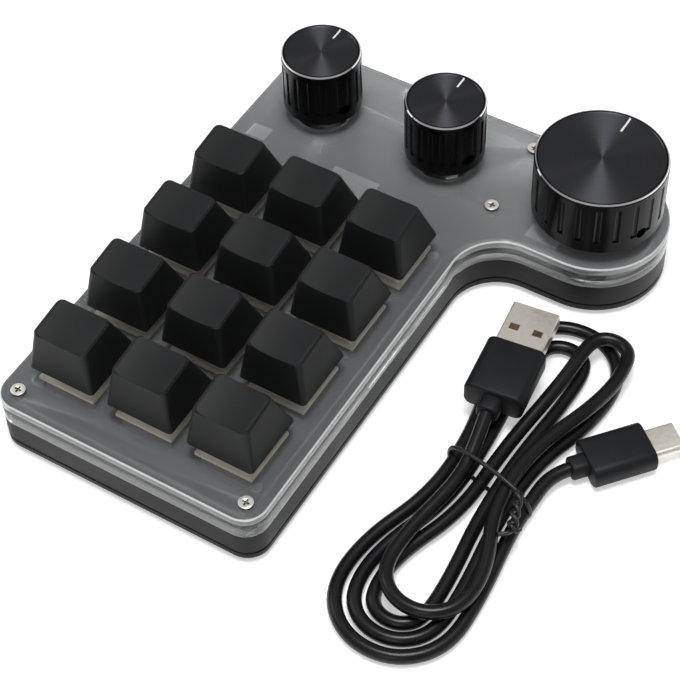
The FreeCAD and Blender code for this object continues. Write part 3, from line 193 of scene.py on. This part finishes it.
def rounded_bar(mesh, width, height, start, end, corner, segments=5, ends=0.0, material=0):
    """A bar along +Y with rounded long edges, and with its end edges rounded a little."""
    made = bmesh.ops.create_cube(mesh, size=1)["verts"]
    bmesh.ops.scale(mesh, vec=(width, end - start, height), verts=made)
    bmesh.ops.translate(mesh, vec=(0, (start + end) / 2, 0), verts=made)
    edges = {edge for vert in made for edge in vert.link_edges}
    long_edges = [e for e in edges if abs(e.verts[0].co.y - e.verts[1].co.y) > (end - start) / 2]
    faces = {face for vert in made for face in vert.link_faces}
    for face in faces:
        face.material_index = material
    bmesh.ops.bevel(mesh, geom=long_edges, offset=corner, offset_type="OFFSET", segments=segments,
                    profile=0.5, affect="EDGES", clamp_overlap=True, material=-1)
    if ends:
        def round_an_end(edge):
            """Whether an edge lies round one end of this bar."""
            first, last = edge.verts[0].co, edge.verts[1].co
            return (abs(first.y - last.y) < 1e-6
                    and min(abs(first.y - start), abs(first.y - end)) < 1e-6
                    and all(abs(v.x) <= width / 2 + 1e-6 and abs(v.z) <= height / 2 + 1e-6
                            for v in (first, last))
                    and len(edge.link_faces) == 2
                    and abs(edge.link_faces[0].normal.dot(edge.link_faces[1].normal)) < 0.5)

        caps = [edge for edge in mesh.edges if round_an_end(edge)]
        bmesh.ops.bevel(mesh, geom=caps, offset=ends, offset_type="OFFSET", segments=3,
                        profile=0.5, affect="EDGES", clamp_overlap=True, material=-1)


SHELL_DEPTH = 0.94


def hollow_shell(mesh, width, height, start, end, corner, wall, segments=4, material=1):
    """A sheet-metal sleeve, open at its far end, with a floor a little way in."""
    before = set(mesh.verts)
    rounded_bar(mesh, width, height, start, end, corner, segments, material=material)
    far = [f for f in mesh.faces
           if all(v not in before and abs(v.co.y - end) < 1e-6 for v in f.verts)]
    bmesh.ops.inset_region(mesh, faces=far, thickness=wall, use_even_offset=True)
    pushed = bmesh.ops.extrude_face_region(mesh, geom=far)
    verts = [g for g in pushed["geom"] if isinstance(g, bmesh.types.BMVert)]
    bmesh.ops.translate(mesh, vec=(0, -(end - start) * SHELL_DEPTH, 0), verts=verts)
    bmesh.ops.delete(mesh, geom=far, context="FACES_ONLY")


def finish_piece(name, mesh, materials, matrix=None, smooth=True, angle=35):
    """Put a finished mesh into the scene with its place in the mesh, and shade it smooth by angle."""
    bmesh.ops.remove_doubles(mesh, verts=mesh.verts, dist=1e-7)
    bmesh.ops.recalc_face_normals(mesh, faces=mesh.faces)
    if matrix:
        bmesh.ops.transform(mesh, matrix=matrix, verts=mesh.verts)
    for face in mesh.faces:
        face.smooth = smooth
    for edge in mesh.edges:
        if len(edge.link_faces) == 2 and edge.calc_face_angle() > math.radians(angle):
            edge.smooth = False
    data = bpy.data.meshes.new(name)
    mesh.to_mesh(data)
    mesh.free()
    for material in materials:
        data.materials.append(material)
    piece = bpy.data.objects.new(name, data)
    scene.collection.objects.link(piece)
    return piece


def plug_matrix(place, way):
    """Where a plug lies: its lead end at a place, its shell pointing a way, in degrees from +X."""
    return Matrix.Translation(place) @ Matrix.Rotation(math.radians(way - 90), 4, "Z")


RELIEF_LENGTH = 0.004
OVERLAP = 0.001
A_GRIP = (0.0150, 0.0076, 0.0165)
A_RELIEF = (0.0054, 0.0050)
A_SHELL = (0.0120, 0.0045, 0.0130)
A_TONGUE = (0.0110, 0.0018, 0.0122)
SHELL_WALL = 0.0003
WINDOW = (0.0024, 0.0019, 0.0002)
WINDOW_ACROSS, WINDOW_ALONG, WINDOW_SUNK = 0.0030, 0.0054, 0.00005
plug = bmesh.new()
rounded_bar(plug, A_GRIP[0], A_GRIP[1], RELIEF_LENGTH, RELIEF_LENGTH + A_GRIP[2], 0.0021, 6, 0.0007)
rounded_bar(plug, A_RELIEF[0], A_RELIEF[1], 0.0, RELIEF_LENGTH + OVERLAP, 0.0018, 5, 0.0005)
front = RELIEF_LENGTH + A_GRIP[2]
hollow_shell(plug, A_SHELL[0], A_SHELL[1], front - OVERLAP, front + A_SHELL[2], 0.0005, SHELL_WALL)
for side in (-1, 1):
    window = bmesh.ops.create_cube(plug, size=1)["verts"]
    bmesh.ops.scale(plug, vec=WINDOW, verts=window)
    there = (side * WINDOW_ACROSS, front + WINDOW_ALONG, A_SHELL[1] / 2 - WINDOW_SUNK)
    bmesh.ops.translate(plug, vec=there, verts=window)
    for face in {face for vert in window for face in vert.link_faces}:
        face.material_index = 2
rounded_bar(plug, A_TONGUE[0], A_TONGUE[1], front, front + A_TONGUE[2], 0.0002, 2, material=2)
a_plug = finish_piece("usb_a_plug_moulded", plug, [moulded, shell_steel, tongue_plastic],
                      plug_matrix(A_PLUG_PLACE, A_PLUG_WAY))
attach(a_plug, rest_body)

C_GRIP = (0.0124, 0.0064, 0.0160)
C_RELIEF = (0.0056, 0.0048)
C_SHELL = (0.0083, 0.0025, 0.0076)
C_TONGUE = (0.0064, 0.0007, 0.0064)
plug = bmesh.new()
rounded_bar(plug, C_GRIP[0], C_GRIP[1], RELIEF_LENGTH, RELIEF_LENGTH + C_GRIP[2], 0.0026, 7, 0.0006)
rounded_bar(plug, C_RELIEF[0], C_RELIEF[1], 0.0, RELIEF_LENGTH + OVERLAP, 0.0020, 5, 0.0005)
front = RELIEF_LENGTH + C_GRIP[2]
hollow_shell(plug, C_SHELL[0], C_SHELL[1], front - OVERLAP, front + C_SHELL[2], 0.00118, SHELL_WALL, 8)
rounded_bar(plug, C_TONGUE[0], C_TONGUE[1], front, front + C_TONGUE[2], 0.0002, 2, material=0)
c_plug = finish_piece("usb_c_plug_moulded", plug, [moulded, shell_steel],
                      plug_matrix(C_PLUG_PLACE, C_PLUG_WAY))
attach(c_plug, rest_body)

# Tie: a thin plastic-covered wire wound once round the hank's waist, its ends twisted together.
# It is bent wire, so it is a round bar along a curve.
TIE_RADIUS = 0.00055
TIE_MIDDLE = (0.05105, WAIST_Y)
TIE_LEAN = math.radians(-12.9)
tie_loop = [(-0.0126, 0.0044), (-0.0115, 0.0072), (-0.0072, 0.0089), (0.0, 0.0093), (0.0065, 0.0090),
            (0.0112, 0.0066), (0.0126, 0.0040), (0.0120, 0.0012), (0.0090, 0.0007), (0.0, 0.0007),
            (-0.0095, 0.0007), (-0.0122, 0.0014)]
TWIST_START, TWIST_END = Vector((0.0598, -0.0272, 0.0087)), Vector((0.0628, -0.0362, 0.0078))
TWIST_RADIUS = 0.0009
TWIST_STEPS = 14


def twisted_wire(first_turn):
    """One of the tie's two ends, wound round the other with two points to each quarter turn."""
    along = (TWIST_END - TWIST_START).normalized()
    side = along.cross(Vector((0, 0, 1))).normalized()
    up = side.cross(along)
    points = []
    for step in range(TWIST_STEPS + 1):
        turn = first_turn + step * math.pi / 4
        middle = TWIST_START.lerp(TWIST_END, step / TWIST_STEPS)
        points.append(middle + (side * math.cos(turn) + up * math.sin(turn)) * TWIST_RADIUS)
    return points


tail = twisted_wire(0) + [Vector((0.0622, -0.0378, 0.0074)), Vector((0.0606, -0.0386, 0.0070))]
hook = twisted_wire(math.pi) + [Vector((0.0640, -0.0366, 0.0075)), Vector((0.0645, -0.0352, 0.0078))]
tie_curve = bpy.data.curves.new("cable_tie_wire", "CURVE")
tie_curve.dimensions = "3D"
tie_curve.bevel_depth = TIE_RADIUS
tie_curve.bevel_resolution = 3
tie_curve.use_fill_caps = True
for closed, places in (
    (True, [(TIE_MIDDLE[0] + across * math.cos(TIE_LEAN), TIE_MIDDLE[1] + across * math.sin(TIE_LEAN), up)
            for across, up in tie_loop]),
    (False, tail),
    (False, hook),
):
    turn = tie_curve.splines.new("NURBS")
    turn.points.add(len(places) - 1)
    for point, there in zip(turn.points, places):
        point.co = (*there, 1)
    turn.order_u = 3
    turn.use_endpoint_u = not closed
    turn.use_cyclic_u = closed
    turn.resolution_u = 6
tie = bpy.data.objects.new("cable_tie_wire", tie_curve)
scene.collection.objects.link(tie)
tie_black, shader, tree = new_material("tie sleeve", (0.015, 0.015, 0.016), 0.40)
place = add_grain(tree, shader, 1500, 0.2, 0.00005)
vary(tree, place, shader.inputs["Base Color"], 300, (0.012, 0.012, 0.013), (0.022, 0.022, 0.024))
tie_curve.materials.append(tie_black)
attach(tie, rest_body)
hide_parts("usb_cable")
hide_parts("usb_a_plug")
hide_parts("usb_c_plug")
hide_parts("cable_tie")


# Case: the bottom cover and the tray above it, moulded in black plastic with a fine satin texture.
# Four screws from below close it; five black rubber feet are set into the cover.
def dress(names, material):
    """Give CAD nodes a material in their own slots."""
    for name in names:
        slots = nodes[name].data.materials
        slots.clear()
        slots.append(material)


case_black, shader, tree = new_material("case plastic", (0.014, 0.0145, 0.016), 0.42)
shader.inputs["Specular IOR Level"].default_value = 0.15
place = add_grain(tree, shader, 1800, 0.35, 0.00008, 6)
vary(tree, place, shader.inputs["Base Color"], 35, (0.0085, 0.009, 0.010), (0.012, 0.0125, 0.0135))
vary(tree, place, shader.inputs["Roughness"], 50, (0.36, 0.36, 0.36), (0.48, 0.48, 0.48))
dress(["bottom_cover", "base_tray"], case_black)
foot_rubber, shader, tree = new_material("foot rubber", (0.02, 0.02, 0.02), 0.8)
place = add_grain(tree, shader, 900, 0.4, 0.0001)
vary(tree, place, shader.inputs["Base Color"], 90, (0.016, 0.016, 0.016), (0.028, 0.028, 0.028))
dress(["rubber_feet"], foot_rubber)

# Clear frame: cut from clear acrylic sheet, with polished edges and a cell for each key.
# It lies loose between the tray and the plate, held by the screws, so a film of air is left on each side.
AIR_FILM = 0.00003
EDGE_POLISH = 0.00022
sheet_low, sheet_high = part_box("clear_frame")


def polished_copy(name, moved_levels, edge):
    """A merged copy of a flat CAD part, lifted off its neighbours, with its sharp edges eased."""
    mesh = bmesh.new()
    mesh.from_mesh(nodes[name].data)
    bmesh.ops.remove_doubles(mesh, verts=mesh.verts, dist=2e-6)
    bmesh.ops.dissolve_limit(mesh, angle_limit=math.radians(0.5), verts=mesh.verts, edges=mesh.edges)
    for level, shift in moved_levels:
        for vert in mesh.verts:
            if abs(vert.co.z - level) < 2e-6:
                vert.co.z += shift
    sharp = [e for e in mesh.edges if len(e.link_faces) == 2 and e.calc_face_angle() > math.radians(50)]
    bmesh.ops.bevel(mesh, geom=sharp, offset=edge, offset_type="OFFSET", segments=2, profile=0.5,
                    affect="EDGES", clamp_overlap=True, material=-1)
    return mesh


def maths(tree, operation, first, second=None):
    """A math node; its inputs are sockets or plain numbers."""
    node = tree.nodes.new("ShaderNodeMath")
    node.operation = operation
    for socket, value in zip(node.inputs, (first, second)):
        if isinstance(value, (int, float)):
            socket.default_value = value
        elif value is not None:
            tree.links.new(value, socket)
    return node.outputs[0]


def mix_colour(tree, factor, first, second):
    """A mix node for colours; the two it mixes are sockets or plain colours."""
    node = tree.nodes.new("ShaderNodeMix")
    node.data_type = "RGBA"
    tree.links.new(factor, node.inputs["Factor"])
    for socket, value in ((node.inputs["A"], first), (node.inputs["B"], second)):
        if isinstance(value, tuple):
            socket.default_value = (*value, 1)
        else:
            tree.links.new(value, socket)
    return node.outputs["Result"]


def cut_edges(tree):
    """Masks of a sheet's flat faces and of the narrow eased edges between them and its sides."""
    surface = tree.nodes.new("ShaderNodeNewGeometry")
    facing = tree.nodes.new("ShaderNodeSeparateXYZ")
    tree.links.new(surface.outputs["True Normal"], facing.inputs["Vector"])
    upright = maths(tree, "ABSOLUTE", facing.outputs["Z"])
    flat = maths(tree, "GREATER_THAN", upright, 0.98)
    eased = maths(tree, "SUBTRACT", maths(tree, "GREATER_THAN", upright, 0.15), flat)
    return flat, eased


acrylic, shader, tree = new_material("clear acrylic", (0.97, 0.99, 0.985), 0.02)
flat_face, eased_edge = cut_edges(tree)
# Painted highlight: the eased edges are made less clear, so their pale colour shows as a bright line.
tree.links.new(maths(tree, "SUBTRACT", 0.97, maths(tree, "MULTIPLY", eased_edge, 0.45)),
               shader.inputs["Transmission Weight"])
shader.inputs["IOR"].default_value = 1.49
place = add_grain(tree, shader, 60, 0.03, 0.0001, 1)
vary(tree, place, shader.inputs["Roughness"], 140, (0.0, 0.0, 0.0), (0.03, 0.03, 0.03))
frame_levels = ((sheet_low.z, AIR_FILM), (sheet_high.z, -AIR_FILM))
frame_piece = finish_piece("clear_acrylic_frame", polished_copy("clear_frame", frame_levels, EDGE_POLISH),
                           [acrylic])
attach(frame_piece, rest_body)
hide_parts("clear_frame")

# Top plate: acrylic sheet with a sanded, frosted face that blurs the board and blocks under it.
# Its cut edges are polished smooth and given a pale, less clear colour, a painted highlight that shows as
# a bright line.
# Painted light: the frosted face's colour runs from darker at the front to paler at the back, between
# these two places along Y.
PAINTED_LIGHT_FROM, PAINTED_LIGHT_TO = 0.01, 0.07
frosted, shader, tree = new_material("frosted acrylic", (0.60, 0.62, 0.635), 0.42)
shader.inputs["IOR"].default_value = 1.49
place = add_grain(tree, shader, 1500, 0.05, 0.00003, 2)
flat_face, eased_edge = cut_edges(tree)
sanding = maths(tree, "MULTIPLY", flat_face, 0.17)
tree.links.new(maths(tree, "ADD", 0.04, sanding), shader.inputs["Roughness"])
# Less clear on the flat faces for their real frosting, and much less clear on the eased edges as a painted
# highlight.
frost_haze_and_edge_highlight = maths(tree, "ADD", maths(tree, "MULTIPLY", flat_face, 0.13),
               maths(tree, "MULTIPLY", eased_edge, 0.6))
tree.links.new(maths(tree, "SUBTRACT", 0.92, frost_haze_and_edge_highlight), shader.inputs["Transmission Weight"])
along = tree.nodes.new("ShaderNodeSeparateXYZ")
tree.links.new(place.outputs["Object"], along.inputs["Vector"])
painted_light_ramp = tree.nodes.new("ShaderNodeMapRange")
painted_light_ramp.interpolation_type = "SMOOTHSTEP"
painted_light_ramp.inputs["From Min"].default_value = PAINTED_LIGHT_FROM
painted_light_ramp.inputs["From Max"].default_value = PAINTED_LIGHT_TO
tree.links.new(along.outputs["Y"], painted_light_ramp.inputs["Value"])
# Painted light on the frosted face: darker in front, paler towards the back.
face_colour_with_painted_light = mix_colour(tree, painted_light_ramp.outputs["Result"], (0.46, 0.48, 0.495), (0.93, 0.95, 0.96))
# The faces that are not flat take a pale colour; on the eased edges it is part of the painted highlight.
tree.links.new(mix_colour(tree, flat_face, (0.93, 0.96, 0.955), face_colour_with_painted_light), shader.inputs["Base Color"])
plate_piece = finish_piece("frosted_plate",
                           polished_copy("top_plate", ((sheet_high.z, AIR_FILM),), EDGE_POLISH), [frosted])
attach(plate_piece, rest_body)
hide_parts("top_plate")

# Screws: nickel-plated pan heads with a cross recess in the top plate, and plain ones under the cover.
# The heads' rims are rounded as they come off the press; below the head's top face, the recess, the head's
# side and the shank are coloured dark as painted shade.
HEAD_FACE = 0.00012
HEAD_EASING = 0.0002
nickel, shader, tree = new_material("screw nickel", (0.93, 0.90, 0.84), 0.24, 0.55)
place = add_grain(tree, shader, 1400, 0.08, 0.00003)
height = tree.nodes.new("ShaderNodeSeparateXYZ")
tree.links.new(place.outputs["Object"], height.inputs["Vector"])
head_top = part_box("plate_screws")[1].z
# Painted shade: everything lower than just under the head's top face is coloured dark instead of plated.
in_recess = maths(tree, "LESS_THAN", height.outputs["Z"], head_top - HEAD_FACE)
plating, recess_painted_shade = (0.90, 0.875, 0.82), (0.10, 0.095, 0.085)
tree.links.new(mix_colour(tree, in_recess, plating, recess_painted_shade), shader.inputs["Base Color"])
plate_screws = finish_piece("plate_screw_heads", polished_copy("plate_screws", (), HEAD_EASING), [nickel])
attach(plate_screws, rest_body)
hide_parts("plate_screws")
plated, shader, tree = new_material("cover screw plating", plating, 0.3, 1.0)
place = add_grain(tree, shader, 1400, 0.15, 0.00005)
vary(tree, place, shader.inputs["Roughness"], 500, (0.24, 0.24, 0.24), (0.36, 0.36, 0.36))
dress(["cover_screws"], plated)

# Circuit board: black solder mask on laminate, with white nylon posts and connector blocks,
# a moulded controller below and a milky light in front of each key.
mask_black, shader, tree = new_material("solder mask", (0.016, 0.018, 0.019), 0.34)
place = add_grain(tree, shader, 500, 0.2, 0.00005)
vary(tree, place, shader.inputs["Base Color"], 80, (0.013, 0.015, 0.015), (0.024, 0.027, 0.026))
dress(["circuit_board"], mask_black)
nylon, shader, tree = new_material("white nylon", (0.93, 0.93, 0.92), 0.5)
place = add_grain(tree, shader, 700, 0.15, 0.00006)
vary(tree, place, shader.inputs["Base Color"], 150, (0.91, 0.91, 0.90), (0.96, 0.96, 0.95))
dress(["board_posts", "board_connectors"], nylon)
chip_black, shader, tree = new_material("chip package", (0.02, 0.02, 0.021), 0.6)
place = add_grain(tree, shader, 1600, 0.4, 0.00005)
vary(tree, place, shader.inputs["Base Color"], 300, (0.016, 0.016, 0.017), (0.028, 0.028, 0.028))
dress(["microcontroller"], chip_black)
milky, shader, tree = new_material("light resin", (0.88, 0.85, 0.72), 0.3)
shader.inputs["Subsurface Weight"].default_value = 0.3
shader.inputs["Subsurface Scale"].default_value = 0.001
place = add_grain(tree, shader, 600, 0.1, 0.00005)
vary(tree, place, shader.inputs["Base Color"], 900, (0.84, 0.80, 0.62), (0.92, 0.90, 0.80))
dress(["key_lights"], milky)
socket_steel, shader, tree = new_material("socket steel", (0.62, 0.62, 0.63), 0.3, 1.0)
place = add_grain(tree, shader, 900, 0.1, 0.00004)
vary(tree, place, shader.inputs["Roughness"], 300, (0.24, 0.24, 0.24), (0.38, 0.38, 0.38))
dress(["usb_c_socket"], socket_steel)

# Key switches: moulded milky housings, pressed into the plate in three columns of four.
housing, shader, tree = new_material("switch housing", (0.93, 0.89, 0.79), 0.22)
shader.inputs["Transmission Weight"].default_value = 0.15
shader.inputs["IOR"].default_value = 1.5
place = add_grain(tree, shader, 700, 0.08, 0.00006)
vary(tree, place, shader.inputs["Base Color"], 260, (0.90, 0.85, 0.73), (0.96, 0.93, 0.85))
dress(["switch_housings_left", "switch_housings_middle", "switch_housings_right"], housing)

# Springs: a coil of steel wire in each switch, built here at its rest length only.
# Each stands on the floor of its housing, and its top stays just under its stem.
spring_steel, shader, tree = new_material("spring steel", (0.62, 0.60, 0.56), 0.3, 1.0)
place = add_grain(tree, shader, 900, 0.2, 0.00005)
vary(tree, place, shader.inputs["Roughness"], 300, (0.24, 0.24, 0.24), (0.4, 0.4, 0.4))
SPRING_SECTION = 0.00016
SPRING_TURNS, TURN_STEPS, SECTION_SIDES = 8, 14, 6
SPRING_GAP = 0.00006
WITHIN_A_KEY = 0.004
springs_low, springs_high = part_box("switch_springs")
sleeve = [vert.co for vert in nodes["switch_springs"].data.vertices]
for stem_name in [name for name in nodes if name.startswith("switch_stem")]:
    key = stem_name.replace("switch_stem", "key")
    stem_low, stem_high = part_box(stem_name)
    centre = Vector(((stem_low[0] + stem_high[0]) / 2, (stem_low[1] + stem_high[1]) / 2, 0))
    spreads = [(co - centre).to_2d().length for co in sleeve]
    coil_radius = max(spread for spread in spreads if spread < WITHIN_A_KEY) - SPRING_SECTION
    start, end = springs_low[2] + SPRING_SECTION, springs_high[2] - SPRING_SECTION - SPRING_GAP
    steps = SPRING_TURNS * TURN_STEPS
    coil = bmesh.new()
    section = bmesh.ops.create_circle(coil, cap_ends=False, radius=SPRING_SECTION,
                                      segments=SECTION_SIDES)["verts"]
    bmesh.ops.rotate(coil, cent=(0, 0, 0), matrix=Matrix.Rotation(math.pi / 2, 3, "X"), verts=section)
    bmesh.ops.translate(coil, vec=centre + Vector((coil_radius, 0, start)), verts=section)
    bmesh.ops.spin(coil, geom=coil.verts[:] + coil.edges[:], cent=centre, axis=(0, 0, 1),
                   angle=SPRING_TURNS * 2 * math.pi, steps=steps, dvec=(0, 0, (end - start) / steps))
    bmesh.ops.holes_fill(coil, edges=[edge for edge in coil.edges if edge.is_boundary], sides=0)
    spring = finish_piece(f"{key}_spring", coil, [spring_steel])
    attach(spring, rest_body)
    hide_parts("switch_springs")
    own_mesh(spring)

# Stems: brown plastic sliders, one in each switch, with a cross on top that the cap presses onto.
stem_brown, shader, tree = new_material("switch stem", (0.20, 0.09, 0.035), 0.4)
place = add_grain(tree, shader, 800, 0.1, 0.00005)
vary(tree, place, shader.inputs["Base Color"], 200, (0.17, 0.075, 0.03), (0.24, 0.11, 0.045))
dress([name for name in nodes if name.startswith("switch_stem")], stem_brown)

# Keycaps: thick black plastic with a fine, almost matt texture and softly worn edges.
cap_black, shader, tree = new_material("keycap plastic", (0.011, 0.0113, 0.012), 0.45)
shader.inputs["Specular IOR Level"].default_value = 0.22
place = add_grain(tree, shader, 2600, 0.45, 0.00007, 5)
vary(tree, place, shader.inputs["Base Color"], 60, (0.0105, 0.0109, 0.0118), (0.0135, 0.0140, 0.0150))
vary(tree, place, shader.inputs["Roughness"], 70, (0.42, 0.42, 0.42), (0.50, 0.50, 0.50))
dress([name for name in nodes if name.startswith("keycap")], cap_black)

# Knobs: turned aluminium, black anodised, with flutes round the side. The face is spun in fine
# circles, the rim is cut bright after anodising, and a white line points to the back.
RIM_DEPTH, FACE_DEPTH = 0.0003, 0.00065
RIM_BAND, RIM_CHAMFER = 0.00022, 0.0003
FACE_EDGE, POINTER_END = 0.0009, 0.0010
POINTER_HALF_WIDTH = 0.00025
POINTER_REACH = {"left": 0.0046, "middle": 0.0046, "large": 0.0062}

for knob, pointer_reach in POINTER_REACH.items():
    knob_low, knob_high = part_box(f"{knob}_knob")
    centre = (knob_low + knob_high) / 2
    radius = (knob_high.x - knob_low.x) / 2
    anodised, shader, tree = new_material(f"{knob} knob anodised", (0.03, 0.03, 0.033), 0.28, 1.0)
    place = tree.nodes.new("ShaderNodeTexCoord")
    centred = tree.nodes.new("ShaderNodeMapping")
    centred.inputs["Location"].default_value = (-centre.x, -centre.y, 0)
    tree.links.new(place.outputs["Object"], centred.inputs["Vector"])
    parts = tree.nodes.new("ShaderNodeSeparateXYZ")
    tree.links.new(centred.outputs["Vector"], parts.inputs["Vector"])
    x, y, z = parts.outputs
    squared = maths(tree, "ADD", maths(tree, "MULTIPLY", x, x), maths(tree, "MULTIPLY", y, y))
    spread = maths(tree, "SQRT", squared)
    rim = maths(tree, "MULTIPLY",
                maths(tree, "GREATER_THAN", spread, radius - RIM_CHAMFER - RIM_BAND),
                maths(tree, "GREATER_THAN", z, knob_high.z - RIM_DEPTH))
    rings = tree.nodes.new("ShaderNodeTexNoise")
    rings.noise_dimensions = "1D"
    rings.inputs["Scale"].default_value = 5200
    rings.inputs["Detail"].default_value = 3
    tree.links.new(spread, rings.inputs["W"])
    on_top = maths(tree, "GREATER_THAN", z, knob_high.z - FACE_DEPTH)
    face = maths(tree, "MULTIPLY", on_top, maths(tree, "LESS_THAN", spread, radius - FACE_EDGE))
    spun = mix_colour(tree, rings.outputs["Fac"], (0.055, 0.056, 0.062), (0.105, 0.106, 0.115))
    body_colour = mix_colour(tree, face, (0.012, 0.012, 0.013), spun)
    beside = maths(tree, "LESS_THAN", maths(tree, "ABSOLUTE", x), POINTER_HALF_WIDTH)
    beyond = maths(tree, "GREATER_THAN", y, radius - pointer_reach)
    pointer = maths(tree, "MULTIPLY", beside, maths(tree, "MULTIPLY", on_top, beyond))
    pointer = maths(tree, "MULTIPLY", pointer, maths(tree, "LESS_THAN", spread, radius - POINTER_END))
    coloured = mix_colour(tree, rim, body_colour, (0.86, 0.86, 0.87))
    coloured = mix_colour(tree, pointer, coloured, (0.85, 0.85, 0.85))
    tree.links.new(coloured, shader.inputs["Base Color"])
    tree.links.new(maths(tree, "SUBTRACT", 1.0, pointer), shader.inputs["Metallic"])
    smooth = maths(tree, "ADD", 0.24, maths(tree, "MULTIPLY", face, 0.10))
    polish = maths(tree, "MULTIPLY", rim, 0.12)
    tree.links.new(maths(tree, "SUBTRACT", smooth, polish), shader.inputs["Roughness"])
    shader.inputs["Anisotropic"].default_value = 0.85
    shader.inputs["Anisotropic Rotation"].default_value = 0.25
    tangent = tree.nodes.new("ShaderNodeTangent")
    tangent.direction_type = "RADIAL"
    tangent.axis = "Z"
    tree.links.new(tangent.outputs["Tangent"], shader.inputs["Tangent"])
    dress([f"{knob}_knob"], anodised)

encoder_steel, shader, tree = new_material("encoder steel", (0.60, 0.60, 0.60), 0.35, 1.0)
place = add_grain(tree, shader, 900, 0.1, 0.00005)
vary(tree, place, shader.inputs["Roughness"], 200, (0.28, 0.28, 0.28), (0.42, 0.42, 0.42))
encoder_ends = ("_encoder", "_encoder_shaft", "_encoder_plunger")
dress([name for name in nodes if name.endswith(encoder_ends)], encoder_steel)
grub_steel, shader, tree = new_material("grub screw", (0.30, 0.30, 0.31), 0.3, 1.0)
place = add_grain(tree, shader, 900, 0.2, 0.00005)
vary(tree, place, shader.inputs["Roughness"], 300, (0.22, 0.22, 0.22), (0.4, 0.4, 0.4))
dress([name for name in nodes if name.endswith("_grub_screw")], grub_steel)

# Studio: white floor and background, one broad soft lamp overhead, and weaker ones left and in front.
FLOOR_HALF, FLOOR_GAP = 3, 0.0002
FLOOR_GLOW, SKY_STRENGTH = 0.42, 0.32
floor_mesh = bmesh.new()
bmesh.ops.create_grid(floor_mesh, x_segments=1, y_segments=1, size=FLOOR_HALF)
floor_white, shader, tree = new_material("studio floor", (0.90, 0.90, 0.90), 0.9)
output = tree.nodes["Material Output"]
rays = tree.nodes.new("ShaderNodeLightPath")
glow = tree.nodes.new("ShaderNodeEmission")
glow.inputs["Color"].default_value = (1, 1, 1, 1)
glow.inputs["Strength"].default_value = FLOOR_GLOW
both = tree.nodes.new("ShaderNodeAddShader")
seen = maths(tree, "MAXIMUM", rays.outputs["Is Camera Ray"],
             maths(tree, "MAXIMUM", rays.outputs["Is Glossy Ray"], rays.outputs["Is Transmission Ray"]))
choose = tree.nodes.new("ShaderNodeMixShader")
tree.links.new(shader.outputs["BSDF"], both.inputs[0])
tree.links.new(glow.outputs["Emission"], both.inputs[1])
tree.links.new(seen, choose.inputs["Fac"])
tree.links.new(shader.outputs["BSDF"], choose.inputs[1])
tree.links.new(both.outputs["Shader"], choose.inputs[2])
tree.links.new(choose.outputs["Shader"], output.inputs["Surface"])
floor = finish_piece("studio_floor", floor_mesh, [floor_white], Matrix.Translation((0, 0, -FLOOR_GAP)),
                     smooth=False)

world = bpy.data.worlds.new("studio")
world.use_nodes = True
scene.world = world
sky = world.node_tree.nodes["Background"]
sky.inputs["Color"].default_value = (1, 1, 1, 1)
sky.inputs["Strength"].default_value = SKY_STRENGTH
for name, place, size, power in (
    ("overhead", (0.06, -0.06, 1.20), 0.42, 9.0),
    ("left fill", (-0.95, -0.10, 0.70), 0.5, 1.7),
    ("front fill", (0.25, -1.10, 0.70), 0.5, 1.4),
):
    lamp_data = bpy.data.lights.new(name, "AREA")
    lamp_data.size = size
    lamp_data.energy = power
    lamp = bpy.data.objects.new(name, lamp_data)
    lamp.location = place
    lamp.rotation_euler = (Vector((0, 0, 0)) - Vector(place)).to_track_quat("-Z", "Y").to_euler()
    scene.collection.objects.link(lamp)
scene.view_settings.view_transform = "Standard"
